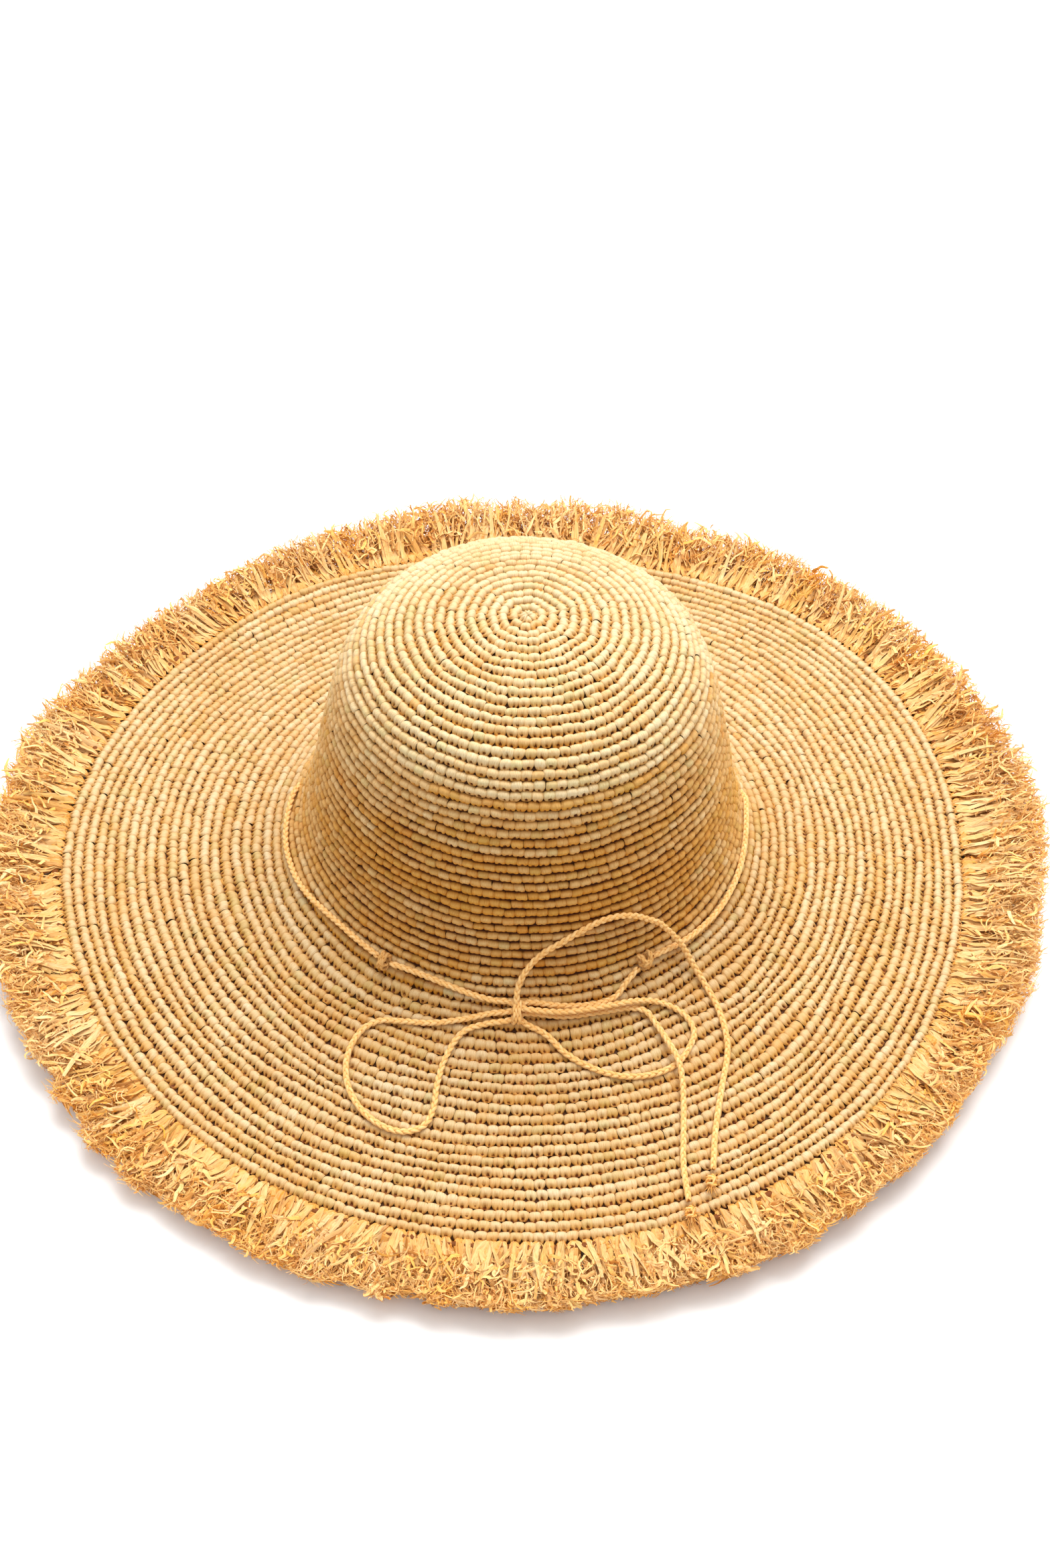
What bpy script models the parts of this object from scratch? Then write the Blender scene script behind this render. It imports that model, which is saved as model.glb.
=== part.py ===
"""Crocheted raffia sun hat with a fringed brim and a tied cord bow.

Metres, +Z up.  The hat lies on its brim on the plane z = 0, its front (the
bow) faces -Y.  Everything is turned about the Z axis from one profile, then
the brim is given its soft waves.
"""
import bpy
import bmesh
import math
import numpy as np
from mathutils import Vector

# ------------------------------------------------------------------ sizes (m)
CROWN_ROUNDS = 43            # crochet rounds from the top centre to the turning line
BRIM_ROUNDS = 21             # rounds from the turning line to the edge
SHELL = 0.0030               # thickness of the crocheted fabric
GAP = 0.0003                 # clearance between touching pieces
EDGE_WIRE = 0.0020           # radius of the thicker last round
FRINGE_LENGTH = 0.0350
FRINGE_SECTORS = 16
FRINGE_HALF = 0.0026         # half thickness of the fringe where it leaves the edge
FRINGE_TIP = 0.0080          # how far the loose ends still stand up at their tips
FRINGE_REAR = 0.0015         # how much fuller they are at the back than at the sides
CORD_D = 0.0028              # plaited cord of the band and of the bow
SWEAT_T = 0.0010             # sweatband ribbon
SWEAT_TOP, SWEAT_LOW = 33.4, 39.2   # rounds of the crown that it covers
SEAM_ROUND = 38.5            # the row of stitches along its lower edge
STEPS = 48                   # divisions round the hat
FLAT_TOP = 0.0150            # radius of the flat start disc inside the crown

# outer surface of crown and brim: distance from the axis, height (mm)
PROFILE = [
    (0, 155.0), (20, 154.6), (37, 152.3), (53, 147.5), (66.5, 140.0),
    (75.5, 129.0), (81, 114.0), (85, 97.0), (88.5, 81.0), (91.7, 65.0),
    (94.8, 50.5), (98.8, 39.5), (106, 29.5),              # turning line
    (117, 23.0), (136, 18.8), (155, 15.6), (174, 12.8), (194, 11.0),
    (207.5, 10.6)]                                        # edge
TURN = 12                    # index of the turning line in PROFILE


# ------------------------------------------------------------- hat surface
def natural_spline(points, per_span):
    """Cubic curve through points, flat at its start."""
    p = np.array(points, float)
    t = np.concatenate([[0], np.cumsum(np.hypot(*np.diff(p, axis=0).T))])
    n, h = len(p), np.diff(t)
    tt = np.concatenate([np.linspace(t[i], t[i + 1], per_span, endpoint=False)
                         for i in range(n - 1)] + [[t[-1]]])
    k = np.clip(np.searchsorted(t, tt, side="right") - 1, 0, n - 2)
    out = []
    for c in range(p.shape[1]):
        y = p[:, c]
        a, b = np.zeros((n, n)), np.zeros(n)
        if c == 1:
            a[0, 0], a[0, 1], b[0] = 2 * h[0], h[0], 6 * (y[1] - y[0]) / h[0]
        else:
            a[0, 0] = 1
        a[-1, -1] = 1
        for i in range(1, n - 1):
            a[i, i - 1:i + 2] = h[i - 1], 2 * (h[i - 1] + h[i]), h[i]
            b[i] = 6 * ((y[i + 1] - y[i]) / h[i] - (y[i] - y[i - 1]) / h[i - 1])
        m = np.linalg.solve(a, b)
        d, e, hh = tt - t[k], t[k + 1] - tt, h[k]
        out.append((m[k] * e ** 3 + m[k + 1] * d ** 3) / (6 * hh)
                   + (y[k] / hh - m[k] * hh / 6) * e
                   + (y[k + 1] / hh - m[k + 1] * hh / 6) * d)
    return np.stack(out, -1)


def arc_length(q):
    return np.concatenate([[0], np.cumsum(np.hypot(*np.diff(q, axis=0).T))])


CURVE = natural_spline(PROFILE, 40) / 1000.0
_crown = arc_length(CURVE[:TURN * 40 + 1])
_brim = arc_length(CURVE[TURN * 40:])
ROUND = np.concatenate([_crown / _crown[-1] * CROWN_ROUNDS,
                        CROWN_ROUNDS + _brim[1:] / _brim[-1] * BRIM_ROUNDS])
LAST = float(CROWN_ROUNDS + BRIM_ROUNDS)
CROWN_PITCH = _crown[-1] / CROWN_ROUNDS
BRIM_PITCH = _brim[-1] / BRIM_ROUNDS


def profile(u):
    """Radius and height of round u (0 = top centre, LAST = edge)."""
    return float(np.interp(u, ROUND, CURVE[:, 0])), float(np.interp(u, ROUND, CURVE[:, 1]))


def normal_of(u):
    r1, z1 = profile(max(u - 0.05, 0))
    r2, z2 = profile(min(u + 0.05, LAST))
    length = math.hypot(r2 - r1, z2 - z1)
    return -(z2 - z1) / length, (r2 - r1) / length


def wave(u, a):
    """How far round u is lifted at angle a by the brim's soft waves."""
    w = max((u - 40) / 24, 0) ** 1.7
    return w * 0.001 * (-1.8 * math.sin(2 * a) - 0.5 * math.cos(3 * a)
                        - 1.3 * math.sin(3 * a) + 1.6 * math.sin(4 * a)
                        - 1.1 * math.cos(5 * a) - 1.3 * math.sin(5 * a))


def spread(u, a):
    """How far round u stands out or in at angle a: the brim isn't quite round."""
    w = max((u - CROWN_ROUNDS) / BRIM_ROUNDS, 0)
    return w * 0.001 * (2.6 * math.sin(a) + 0.4 * math.cos(2 * a)
                        + 2.4 * math.sin(2 * a) - 2.8 * math.cos(3 * a)
                        + 3.0 * math.sin(3 * a) - 1.4 * math.cos(4 * a))


def on_hat(u, a, lift=0.0):
    """(distance from the axis, height) of round u at angle a, lifted off it."""
    r, z = profile(u)
    nr, nz = normal_of(u)
    return r + nr * lift + spread(u, a), z + nz * lift + wave(u, a)


def above(x, y, lift):
    """Point lifted (mm) off the hat's outer surface over plan position x, y (mm)."""
    a = math.atan2(y, x)
    want = math.hypot(x, y) / 1000
    lo, hi = 0.0, LAST
    for _ in range(40):
        mid = (lo + hi) / 2
        if profile(mid)[0] + spread(mid, a) < want:
            lo = mid
        else:
            hi = mid
    r, z = on_hat(lo, a, lift / 1000)
    if want > profile(LAST)[0] + spread(LAST, a):      # past the edge
        r += want - profile(LAST)[0] - spread(LAST, a)
    return Vector((r * math.cos(a), r * math.sin(a), z))


# ------------------------------------------------------------------ building
for old in list(bpy.data.objects):
    bpy.data.objects.remove(old)


def material(name, colour, roughness):
    m = bpy.data.materials.new(name)
    m.use_nodes = True
    s = m.node_tree.nodes["Principled BSDF"]
    s.inputs["Base Color"].default_value = (*colour, 1)
    s.inputs["Roughness"].default_value = roughness
    s.inputs["Metallic"].default_value = 0.0
    return m


RAFFIA = material("raffia_crochet", (0.76, 0.51, 0.23), 0.62)
BRIM_RAFFIA = material("raffia_brim", (0.74, 0.48, 0.20), 0.62)
EDGE_RAFFIA = material("raffia_edge", (0.70, 0.42, 0.15), 0.62)
FRINGE_RAFFIA = material("raffia_fringe", (0.78, 0.47, 0.14), 0.55)
CORD_RAFFIA = material("raffia_cord", (0.62, 0.34, 0.11), 0.58)
KNOT_RAFFIA = material("raffia_knot", (0.55, 0.27, 0.08), 0.60)
COTTON = material("cotton_ribbon", (0.80, 0.74, 0.62), 0.85)
THREAD = material("sewing_thread", (0.62, 0.52, 0.36), 0.75)


def add_object(name, bm, mat, smooth=True, angle=40):
    bmesh.ops.recalc_face_normals(bm, faces=bm.faces[:])
    if bm.calc_volume(signed=True) < 0:
        bmesh.ops.reverse_faces(bm, faces=bm.faces[:])
    mesh = bpy.data.meshes.new(name)
    bm.to_mesh(mesh)
    bm.free()
    mesh.materials.append(mat)
    if smooth:
        mesh.shade_smooth()
        mesh.set_sharp_from_angle(angle=math.radians(angle))
    ob = bpy.data.objects.new(name, mesh)
    bpy.context.collection.objects.link(ob)
    return ob


def around(a, r, z):
    return (r * math.cos(a), r * math.sin(a), z)


def turned_ring(name, section, mat, steps=STEPS):
    """Closed ring: section(angle) gives its outline as (radius, height) points."""
    bm = bmesh.new()
    rings = []
    for i in range(steps):
        a = 2 * math.pi * i / steps
        rings.append([bm.verts.new(around(a, r, z)) for r, z in section(a)])
    for i in range(steps):
        p, q = rings[i], rings[(i + 1) % steps]
        for j in range(len(p)):
            k = (j + 1) % len(p)
            bm.faces.new((p[j], p[k], q[k], q[j]))
    return add_object(name, bm, mat)


def sector(name, section, mat, a0, a1, steps):
    """Part of a ring between two angles, with both ends closed."""
    bm = bmesh.new()
    rows = []
    for i in range(steps + 1):
        a = a0 + (a1 - a0) * i / steps
        rows.append([bm.verts.new(around(a, r, z)) for r, z in section(a)])
    for p, q in zip(rows, rows[1:]):
        for j in range(len(p)):
            k = (j + 1) % len(p)
            bm.faces.new((p[j], p[k], q[k], q[j]))
    bm.faces.new(rows[0])
    bm.faces.new(rows[-1])
    return add_object(name, bm, mat)


# ------------------------------------------------------------------ the crown
def crown():
    end = CROWN_ROUNDS - 0.5 * GAP / CROWN_PITCH
    outer = [3.2, 7, 10.5, 13.5, 16.2, 19, 22.5, 27, 32, 36.5, 39, 40.5, 41.8, end]
    inner = [end, 41, 39, 36.5, 32, 27, 22.5, 19, 16.2, 13.5, 10, 6]
    bm = bmesh.new()
    top = bm.verts.new((0, 0, profile(0)[1]))
    flat_z = on_hat(3.4, 0, -SHELL)[1]
    base = bm.verts.new((0, 0, flat_z))
    rings = []
    for i in range(STEPS):
        a = 2 * math.pi * i / STEPS
        pts = [on_hat(u, a) for u in outer] + [on_hat(u, a, -SHELL) for u in inner]
        pts.append((FLAT_TOP, flat_z))
        rings.append([bm.verts.new(around(a, r, z)) for r, z in pts])
    for i in range(STEPS):
        p, q = rings[i], rings[(i + 1) % STEPS]
        bm.faces.new((top, p[0], q[0]))
        for j in range(len(p) - 1):
            bm.faces.new((p[j], p[j + 1], q[j + 1], q[j]))
        bm.faces.new((base, q[-1], p[-1]))
    return add_object("crown", bm, RAFFIA, angle=50)


# ------------------------------------------------------------------- the brim
def brim_section(a):
    start = CROWN_ROUNDS + 0.5 * GAP / BRIM_PITCH
    us = [start, 44.2, 45.6, 48, 52, 56, 60, LAST]
    low = [LAST, 60, 55, 50, 46, start]
    return ([on_hat(u, a) for u in us] + [on_hat(u, a, -SHELL) for u in low])


def edge_centre(a):
    r, z = on_hat(LAST, a, -SHELL / 2)
    nr, nz = normal_of(LAST)
    reach = EDGE_WIRE + GAP
    return r + nz * reach, z - nr * reach


def edge_section(a):
    r, z = edge_centre(a)
    return [(r + EDGE_WIRE * math.cos(t), z + EDGE_WIRE * math.sin(t))
            for t in [2 * math.pi * k / 6 + math.pi / 6 for k in range(6)]]


# ----------------------------------------------------------------- the fringe
def fringe_section(a):
    """Cut through the fringe, fuller where the ends stand up at the back."""
    r, z = edge_centre(a)
    r += EDGE_WIRE + GAP
    n = FRINGE_LENGTH + 0.0026 * math.cos(a) + 0.0004 * math.sin(a)
    rear = FRINGE_REAR * (1 + math.sin(a))
    low = max(z - FRINGE_HALF, 0.0006)
    return [(r, z + FRINGE_HALF), (r + 0.30 * n, z + 0.0058 + 0.30 * rear),
            (r + 0.65 * n, z * 0.93 + 0.0080 + 0.65 * rear),
            (r + n, z * 0.72 + FRINGE_TIP + rear),
            (r + n, 0.0), (r + 0.55 * n, 0.0), (r, low)]


# ------------------------------------------------------------- the sweatband
def sweat_section(a):
    us = [SWEAT_TOP, 35.4, 37.4, SWEAT_LOW]
    near, far = -SHELL - GAP - 0.0001, -SHELL - GAP - 0.0001 - SWEAT_T
    return ([on_hat(u, a, near) for u in us]
            + [on_hat(u, a, far) for u in reversed(us)])


def seam_section(a):
    r, z = on_hat(SEAM_ROUND, a, -SHELL - GAP - SWEAT_T - 0.0011)
    return [(r + 0.00035 * math.cos(t), z + 0.00035 * math.sin(t))
            for t in [2 * math.pi * k / 4 for k in range(4)]]


# ------------------------------------------------------------------ the cords
def smooth_route(stations, per_span=12):
    """Centripetal curve over stations (x, y, lift) in mm, followed over the hat."""
    pts = [Vector(p) for p in stations]
    ext = [pts[0] * 2 - pts[1]] + pts + [pts[-1] * 2 - pts[-2]]
    dense = []
    for i in range(1, len(ext) - 2):
        p0, p1, p2, p3 = ext[i - 1:i + 3]
        t1 = (p1 - p0).length ** 0.5
        t2 = t1 + (p2 - p1).length ** 0.5
        t3 = t2 + (p3 - p2).length ** 0.5
        for s in range(per_span):
            t = t1 + (t2 - t1) * s / per_span
            a1 = p0 * ((t1 - t) / t1) + p1 * (t / t1)
            a2 = p1 * ((t2 - t) / (t2 - t1)) + p2 * ((t - t1) / (t2 - t1))
            a3 = p2 * ((t3 - t) / (t3 - t2)) + p3 * ((t - t2) / (t3 - t2))
            b1 = a1 * ((t2 - t) / t2) + a2 * (t / t2)
            b2 = a2 * ((t3 - t) / (t3 - t1)) + a3 * ((t - t1) / (t3 - t1))
            dense.append(b1 * ((t2 - t) / (t2 - t1)) + b2 * ((t - t1) / (t2 - t1)))
    dense.append(pts[-1])
    return [above(*q) for q in dense]


def tube(name, points, radius):
    """Round tube with closed ends along a line of points."""
    curve = bpy.data.curves.new(name, "CURVE")
    curve.dimensions = "3D"
    curve.bevel_depth = radius
    curve.bevel_resolution = 2
    curve.use_fill_caps = True
    curve.render_resolution_u = 0
    spline = curve.splines.new("POLY")
    spline.points.add(len(points) - 1)
    for place, p in zip(spline.points, points):
        place.co = (*p, 1)
    spline.use_smooth = True
    ob = bpy.data.objects.new(name, curve)
    bpy.context.collection.objects.link(ob)
    return ob


def evenly(dense, spacing):
    """Points at equal steps, about spacing apart, along a dense line."""
    run = [0.0]
    for p, q in zip(dense, dense[1:]):
        run.append(run[-1] + (q - p).length)
    count = max(4, round(run[-1] / spacing) + 1)
    points, k = [], 0
    for i in range(count):
        s = run[-1] * i / (count - 1)
        while k < len(run) - 2 and run[k + 1] < s:
            k += 1
        f = (s - run[k]) / max(run[k + 1] - run[k], 1e-9)
        points.append(dense[k].lerp(dense[k + 1], min(max(f, 0), 1)))
    return points, run[-1]


def cord(name, stations):
    """Tube along a smooth route over stations (x, y, lift) in mm."""
    points, length = evenly(smooth_route(stations), 2.9 * CORD_D)
    ob = tube(name, points, CORD_D / 2)
    ob.data.materials.append(CORD_RAFFIA)
    print(name, "length %.0f mm" % (length * 1000), len(points), "points")
    return ob


def lift_over_crown(p):
    """Distance of a point from the crown's outer surface, negative inside it."""
    r = math.hypot(p.x, p.y)
    k = int(np.hypot(CURVE[:, 0] - r, CURVE[:, 1] - p.z).argmin())
    nr, nz = normal_of(float(ROUND[k]))
    return (r - CURVE[k, 0]) * nr + (p.z - CURVE[k, 1]) * nz


def pass_through(cord_ob, shell):
    """Cuts the holes in shell that the cord goes through, a little wider than it."""
    clearance = 0.0005
    points = [Vector(p.co[:3]) for p in cord_ob.data.splines[0].points]
    lifts = [lift_over_crown(p) for p in points]
    deep = [i for i, lift in enumerate(lifts) if lift < -SHELL - 0.0020]
    enters = max(i for i in range(deep[0]) if lifts[i] > 0.0017)
    leaves = min(i for i in range(deep[-1], len(points)) if lifts[i] > 0.0017)
    for run in (points[enters:deep[0] + 1], points[deep[-1]:leaves + 1]):
        run[0] = run[0] + (run[0] - run[1]) * 0.5
        run[-1] = run[-1] + (run[-1] - run[-2]) * 0.5
        line = tube("hole_line", run, CORD_D / 2 + clearance)
        mesh = bpy.data.meshes.new_from_object(line)
        bpy.data.objects.remove(line)
        bm = bmesh.new()
        bm.from_mesh(mesh)
        bmesh.ops.remove_doubles(bm, verts=bm.verts, dist=1e-6)
        bmesh.ops.recalc_face_normals(bm, faces=bm.faces[:])
        bm.to_mesh(mesh)
        bm.free()
        cutter = bpy.data.objects.new("hole_cutter", mesh)
        bpy.context.collection.objects.link(cutter)
        cutter.hide_render = True
        cutter.display_type = "WIRE"
        hole = shell.modifiers.new("cord_hole", "BOOLEAN")
        hole.operation = "DIFFERENCE"
        hole.solver = "EXACT"
        hole.object = cutter



def knot(name, x, y, lift, size, turn, mat=None):
    """Small rounded knot sitting over x, y, turned about the local normal."""
    bm = bmesh.new()
    bmesh.ops.create_icosphere(bm, subdivisions=2, radius=1.0)
    a = math.atan2(y, x)
    p = above(x, y, lift)
    d = above(x, y, lift + 1.0) - p
    n = d.normalized()
    along = Vector((-math.sin(a), math.cos(a), 0))        # round the hat
    down = along.cross(n)                                 # down the slope
    c, s = math.cos(math.radians(turn)), math.sin(math.radians(turn))
    e1 = along * c + down * s
    e2 = down * c - along * s
    for v in bm.verts:
        q = v.co
        # a squarer form than an egg
        f = [math.copysign(abs(w) ** 0.8, w) for w in q]
        v.co = (p + e1 * (f[0] * size[0] / 2000) + e2 * (f[1] * size[1] / 2000)
                + n * (f[2] * size[2] / 2000))
    return add_object(name, bm, mat or KNOT_RAFFIA, angle=80)


crown()
turned_ring("brim", brim_section, BRIM_RAFFIA)
turned_ring("brim_edge_round", edge_section, EDGE_RAFFIA)
for i in range(FRINGE_SECTORS):
    span = 2 * math.pi / FRINGE_SECTORS
    slit = 0.5 * 1.4 * GAP / 0.212
    sector("fringe_%02d" % (i + 1), fringe_section, FRINGE_RAFFIA,
           i * span + slit, (i + 1) * span - slit, 3)
turned_ring("sweatband", sweat_section, COTTON)
turned_ring("sweatband_stitching", seam_section, THREAD)

# keepers, centre knot and tail knots: over x, y (mm), lift, size along / down / out
knot("keeper_left", -55.2, -85.6, 3.3, (5.4, 8.6, 5.8), 0)
knot("keeper_right", 52.2, -84.3, 3.3, (6.8, 8.2, 6.0), 0)
knot("bow_knot", 0.4, -106.9, 3.6, (4.8, 10.8, 6.6), 0)
knot("tail_knot_arched", 80.2, -177.8, 3.2, (6.4, 8.4, 5.4), 0)
knot("tail_knot_long", 71.4, -192.6, 3.4, (6.5, 9.0, 5.4), 0)

# The band lies in the fold round the front and sides, goes in through the
# crochet at both sides and runs round the back inside, under the sweatband.
INSIDE = -5.3                # how far the band lies inside the outer surface (mm)
BAND = [(-58.9, -83.0, 1.9), (-67.2, -75.8, 1.9), (-74.8, -68.2, 1.9),
        (-82.7, -59.6, 1.9), (-89.8, -50.9, 1.9), (-95.8, -41.6, 1.9),
        (-100.2, -31.2, 1.9), (-103.2, -20.5, 1.9), (-104.2, -9.7, 1.9),
        (-103.6, 0.7, 1.9), (-101.9, 9.1, 1.9), (-100.6, 15.5, -0.4),
        (-99.2, 22.5, -4.2), (-97, 31, INSIDE), (-88, 51.5, INSIDE),
        (-72, 72, INSIDE), (-50, 89, INSIDE), (-25, 99, INSIDE), (0, 102, INSIDE),
        (25, 99, INSIDE), (50, 89, INSIDE), (72, 72, INSIDE), (88, 51.5, INSIDE),
        (96.6, 31, INSIDE), (98.4, 22.5, -4.2), (98.9, 15.5, -0.4),
        (98.9, 8.5, 1.9), (98.6, -1.2, 1.9), (98.2, -9.5, 1.9), (96.8, -21, 1.9),
        (94.7, -31.3, 1.9), (91, -42, 1.9), (85.3, -53.4, 1.9), (77.5, -64, 1.9),
        (68, -73.4, 1.9), (57.1, -81.7, 1.9)]
band = cord("band_cord", BAND)
pass_through(band, bpy.data.objects["crown"])

# bow: leads, loops and tails, each from the face of the knot that holds it
cord("bow_lead_left", [(-51.4, -87.8, 2.2), (-41, -92.4, 2.2), (-30, -97.0, 2.2),
                       (-19, -100.9, 2.2), (-10, -103.1, 2.1), (-3.0, -103.7, 2.0)])
cord("bow_lead_right", [(48.6, -88.4, 2.2), (45.2, -92.4, 2.2), (41, -97.8, 2.1),
                        (33, -101.6, 1.9), (19, -103.8, 1.8), (3.8, -103.9, 1.8)])
cord("bow_loop_left", [(-3.0, -106.8, 1.9), (-10, -107.4, 2.0), (-21, -109.3, 2.1),
                       (-35, -110.5, 2.0), (-48, -109.2, 1.9), (-57, -108.7, 1.9),
                       (-63.5, -112, 1.9), (-68.2, -119.6, 1.9), (-69.8, -128.5, 1.9),
                       (-67.9, -138.8, 1.9), (-61.6, -149, 1.9), (-52.3, -156.2, 1.9),
                       (-43.2, -158.5, 1.9), (-36, -155.8, 1.9), (-32.7, -149, 1.9),
                       (-31.5, -137.5, 1.9), (-28.3, -125, 1.9), (-21.8, -114.6, 1.9),
                       (-12, -111.3, 1.9), (-3.0, -110.0, 1.8)])
cord("bow_loop_right", [(3.8, -105.5, 4.7), (20, -105.7, 4.9), (38, -101.5, 4.9),
                        (48, -98.6, 4.6), (56, -97.2, 3.2), (63.5, -97.7, 2.1),
                        (71.0, -101.4, 1.9), (74.8, -108.8, 1.9), (72.2, -117.4, 1.9),
                        (66.5, -125.2, 1.9), (57, -130.2, 1.9), (45, -131.9, 1.9),
                        (33, -129.2, 1.9), (21.5, -123.2, 1.9), (12.6, -115.0, 1.9),
                        (3.8, -110.8, 1.8)])
cord("bow_tail_long", [(3.8, -107.3, 1.8), (20, -107.4, 1.8), (37, -103.8, 1.8),
                       (47, -101.2, 1.9), (54, -101.6, 2.3), (58.8, -107.4, 2.8),
                       (63.4, -115.8, 4.3), (67, -123.6, 5.4), (69, -131.4, 4.0),
                       (69.7, -142, 2.2), (69.5, -156, 1.9), (69.2, -170, 1.9),
                       (70.9, -187.6, 2.6)])
cord("bow_tail_arched", [(0.2, -100.2, 4.6), (1.6, -97.6, 4.4), (4.8, -95.4, 3.4),
                         (10, -93.5, 2.5), (17, -91.5, 2.2), (26, -88.3, 2.2),
                         (39.5, -82.6, 2.4), (51, -77.5, 3.2), (58.6, -74.4, 4.6),
                         (65.5, -74.2, 5.4), (72.4, -78.4, 4.0), (79.2, -85.6, 2.4),
                         (85.2, -96.4, 1.9), (88.8, -114, 1.9), (85.6, -135, 1.9),
                         (82.6, -154, 1.9), (81, -172.6, 2.6)])
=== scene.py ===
"""Looks of the crocheted raffia sun hat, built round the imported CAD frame.

Every stitch of crown and brim is a small closed bead of its own, the band
and the bow are plaited cords, and the brim ends in a frizzy raffia fringe.
Metres, +Z up, the front (the bow) faces -Y.
"""
import math

import bpy
import numpy as np
from mathutils import Matrix, Vector


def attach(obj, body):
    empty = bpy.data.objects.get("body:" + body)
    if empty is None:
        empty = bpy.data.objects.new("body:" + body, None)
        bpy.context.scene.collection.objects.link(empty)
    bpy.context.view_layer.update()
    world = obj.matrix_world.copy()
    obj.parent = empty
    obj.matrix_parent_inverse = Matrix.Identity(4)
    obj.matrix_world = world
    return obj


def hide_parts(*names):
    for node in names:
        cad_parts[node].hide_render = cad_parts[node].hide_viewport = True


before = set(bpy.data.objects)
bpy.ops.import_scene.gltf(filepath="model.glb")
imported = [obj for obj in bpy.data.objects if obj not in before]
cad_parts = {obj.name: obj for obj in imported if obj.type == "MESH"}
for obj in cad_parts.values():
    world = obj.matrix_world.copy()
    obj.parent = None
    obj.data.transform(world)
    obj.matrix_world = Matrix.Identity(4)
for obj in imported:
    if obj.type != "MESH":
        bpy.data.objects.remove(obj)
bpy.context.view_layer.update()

# ------------------------------------------------ sizes, most of them the CAD's (m)
CROWN_ROUNDS = 43            # crochet rounds from the top centre to the turning line
BRIM_ROUNDS = 21             # rounds from the turning line to the edge
BRIM_LAID = 22               # rounds of stitches really worked in their width
SHELL = 0.0030               # thickness of the crocheted fabric
GAP = 0.0003
EDGE_WIRE = 0.0020           # radius of the thicker last round
FRINGE_LENGTH = 0.0350
CORD_D = 0.0028              # plaited cord of the band and of the bow
SWEAT_GAP = 0.0006           # between the sweatband and the crown
SWEAT_TOP, SWEAT_LOW = 33.4, 39.2
SEAM_ROUND = 38.5

# outer surface of crown and brim: distance from the axis, height (mm)
PROFILE = [
    (0, 155.0), (20, 154.6), (37, 152.3), (53, 147.5), (66.5, 140.0),
    (75.5, 129.0), (81, 114.0), (85, 97.0), (88.5, 81.0), (91.7, 65.0),
    (94.8, 50.5), (98.8, 39.5), (106, 29.5),              # turning line
    (117, 23.0), (136, 18.8), (155, 15.6), (174, 12.8), (194, 11.0),
    (207.5, 10.6)]                                        # edge
TURN = 12                    # the profile's point at the turning line
SPAN = 40                    # steps between two points of the profile

# ------------------------------------------------------- stitches and fibres
STITCH = 0.00455             # width of one stitch
MOST_STITCHES = 900          # in one piece, for its number of triangles
# grid of one stitch, from -1 to 1: round the hat, and from the crown side outwards
BEAD_X = np.array((-1, -0.93, -0.76, -0.46, -0.17, 0, 0.17, 0.46, 0.76, 0.93, 1))
BEAD_Y = np.array((-1, -0.95, -0.76, -0.44, -0.08, 0.24, 0.48, 0.70, 0.88, 1))
BEAD_LOW, BEAD_RISE = -0.0017, 0.0026    # lift of a stitch's foot, and its height
CORE_LIFT = -0.0016          # outer side of the layer under the stitches
CORE_INNER = -0.0023         # its inner side, between the stitches' bulges
CORE_BULGE = 0.0008
PLAIT_PITCH = 0.0092         # length in which the plait's strands come round again
PLAIT_SIDES = 8
PLAIT_STEP = 0.00042         # spacing of the rings along a free cord
BAND_STEP = 0.00045          # the same along the band and in the knots
TUFTS = 280                  # bundles of the fringe
# strips in one piece of each kind, for its number of triangles
RIBBONS, SHREDS, CURLS, BRISTLES = 1700, 3700, 4300, 7000
TUCKED = 0.0044              # how much of the fringe's length its bends take up
RIBBON = 0.00055             # thickness of the sweatband's ribbon
RIB = 0.00011                # height of the ribbon's ribs
THREAD = 0.00026             # radius of its sewing thread
SEAM_SHARE = 0.88            # how far down the ribbon its stitches are
ROUND_HEIGHT = 0.0044        # of the rounds behind the sweatband

rng = np.random.default_rng(7)


# ------------------------------------------------------------- hat surface
def circle(count):
    """Evenly spaced angles, once round."""
    return 2 * np.pi * np.arange(count) / count


def natural_spline(points):
    """Cubic curve through points, flat at its start."""
    p = np.array(points, float)
    t = np.concatenate([[0], np.cumsum(np.hypot(*np.diff(p, axis=0).T))])
    n, h = len(p), np.diff(t)
    tt = np.concatenate([np.linspace(t[i], t[i + 1], SPAN, endpoint=False)
                         for i in range(n - 1)] + [[t[-1]]])
    k = np.clip(np.searchsorted(t, tt, side="right") - 1, 0, n - 2)
    out = []
    for c in range(p.shape[1]):
        y = p[:, c]
        a, b = np.zeros((n, n)), np.zeros(n)
        if c == 1:
            a[0, 0], a[0, 1], b[0] = 2 * h[0], h[0], 6 * (y[1] - y[0]) / h[0]
        else:
            a[0, 0] = 1
        a[-1, -1] = 1
        for i in range(1, n - 1):
            a[i, i - 1:i + 2] = h[i - 1], 2 * (h[i - 1] + h[i]), h[i]
            b[i] = 6 * ((y[i + 1] - y[i]) / h[i] - (y[i] - y[i - 1]) / h[i - 1])
        m = np.linalg.solve(a, b)
        d, e, hh = tt - t[k], t[k + 1] - tt, h[k]
        out.append((m[k] * e ** 3 + m[k + 1] * d ** 3) / (6 * hh)
                   + (y[k] / hh - m[k] * hh / 6) * e
                   + (y[k + 1] / hh - m[k + 1] * hh / 6) * d)
    return np.stack(out, -1)


def arc_length(q):
    return np.concatenate([[0], np.cumsum(np.hypot(*np.diff(q, axis=0).T))])


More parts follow.
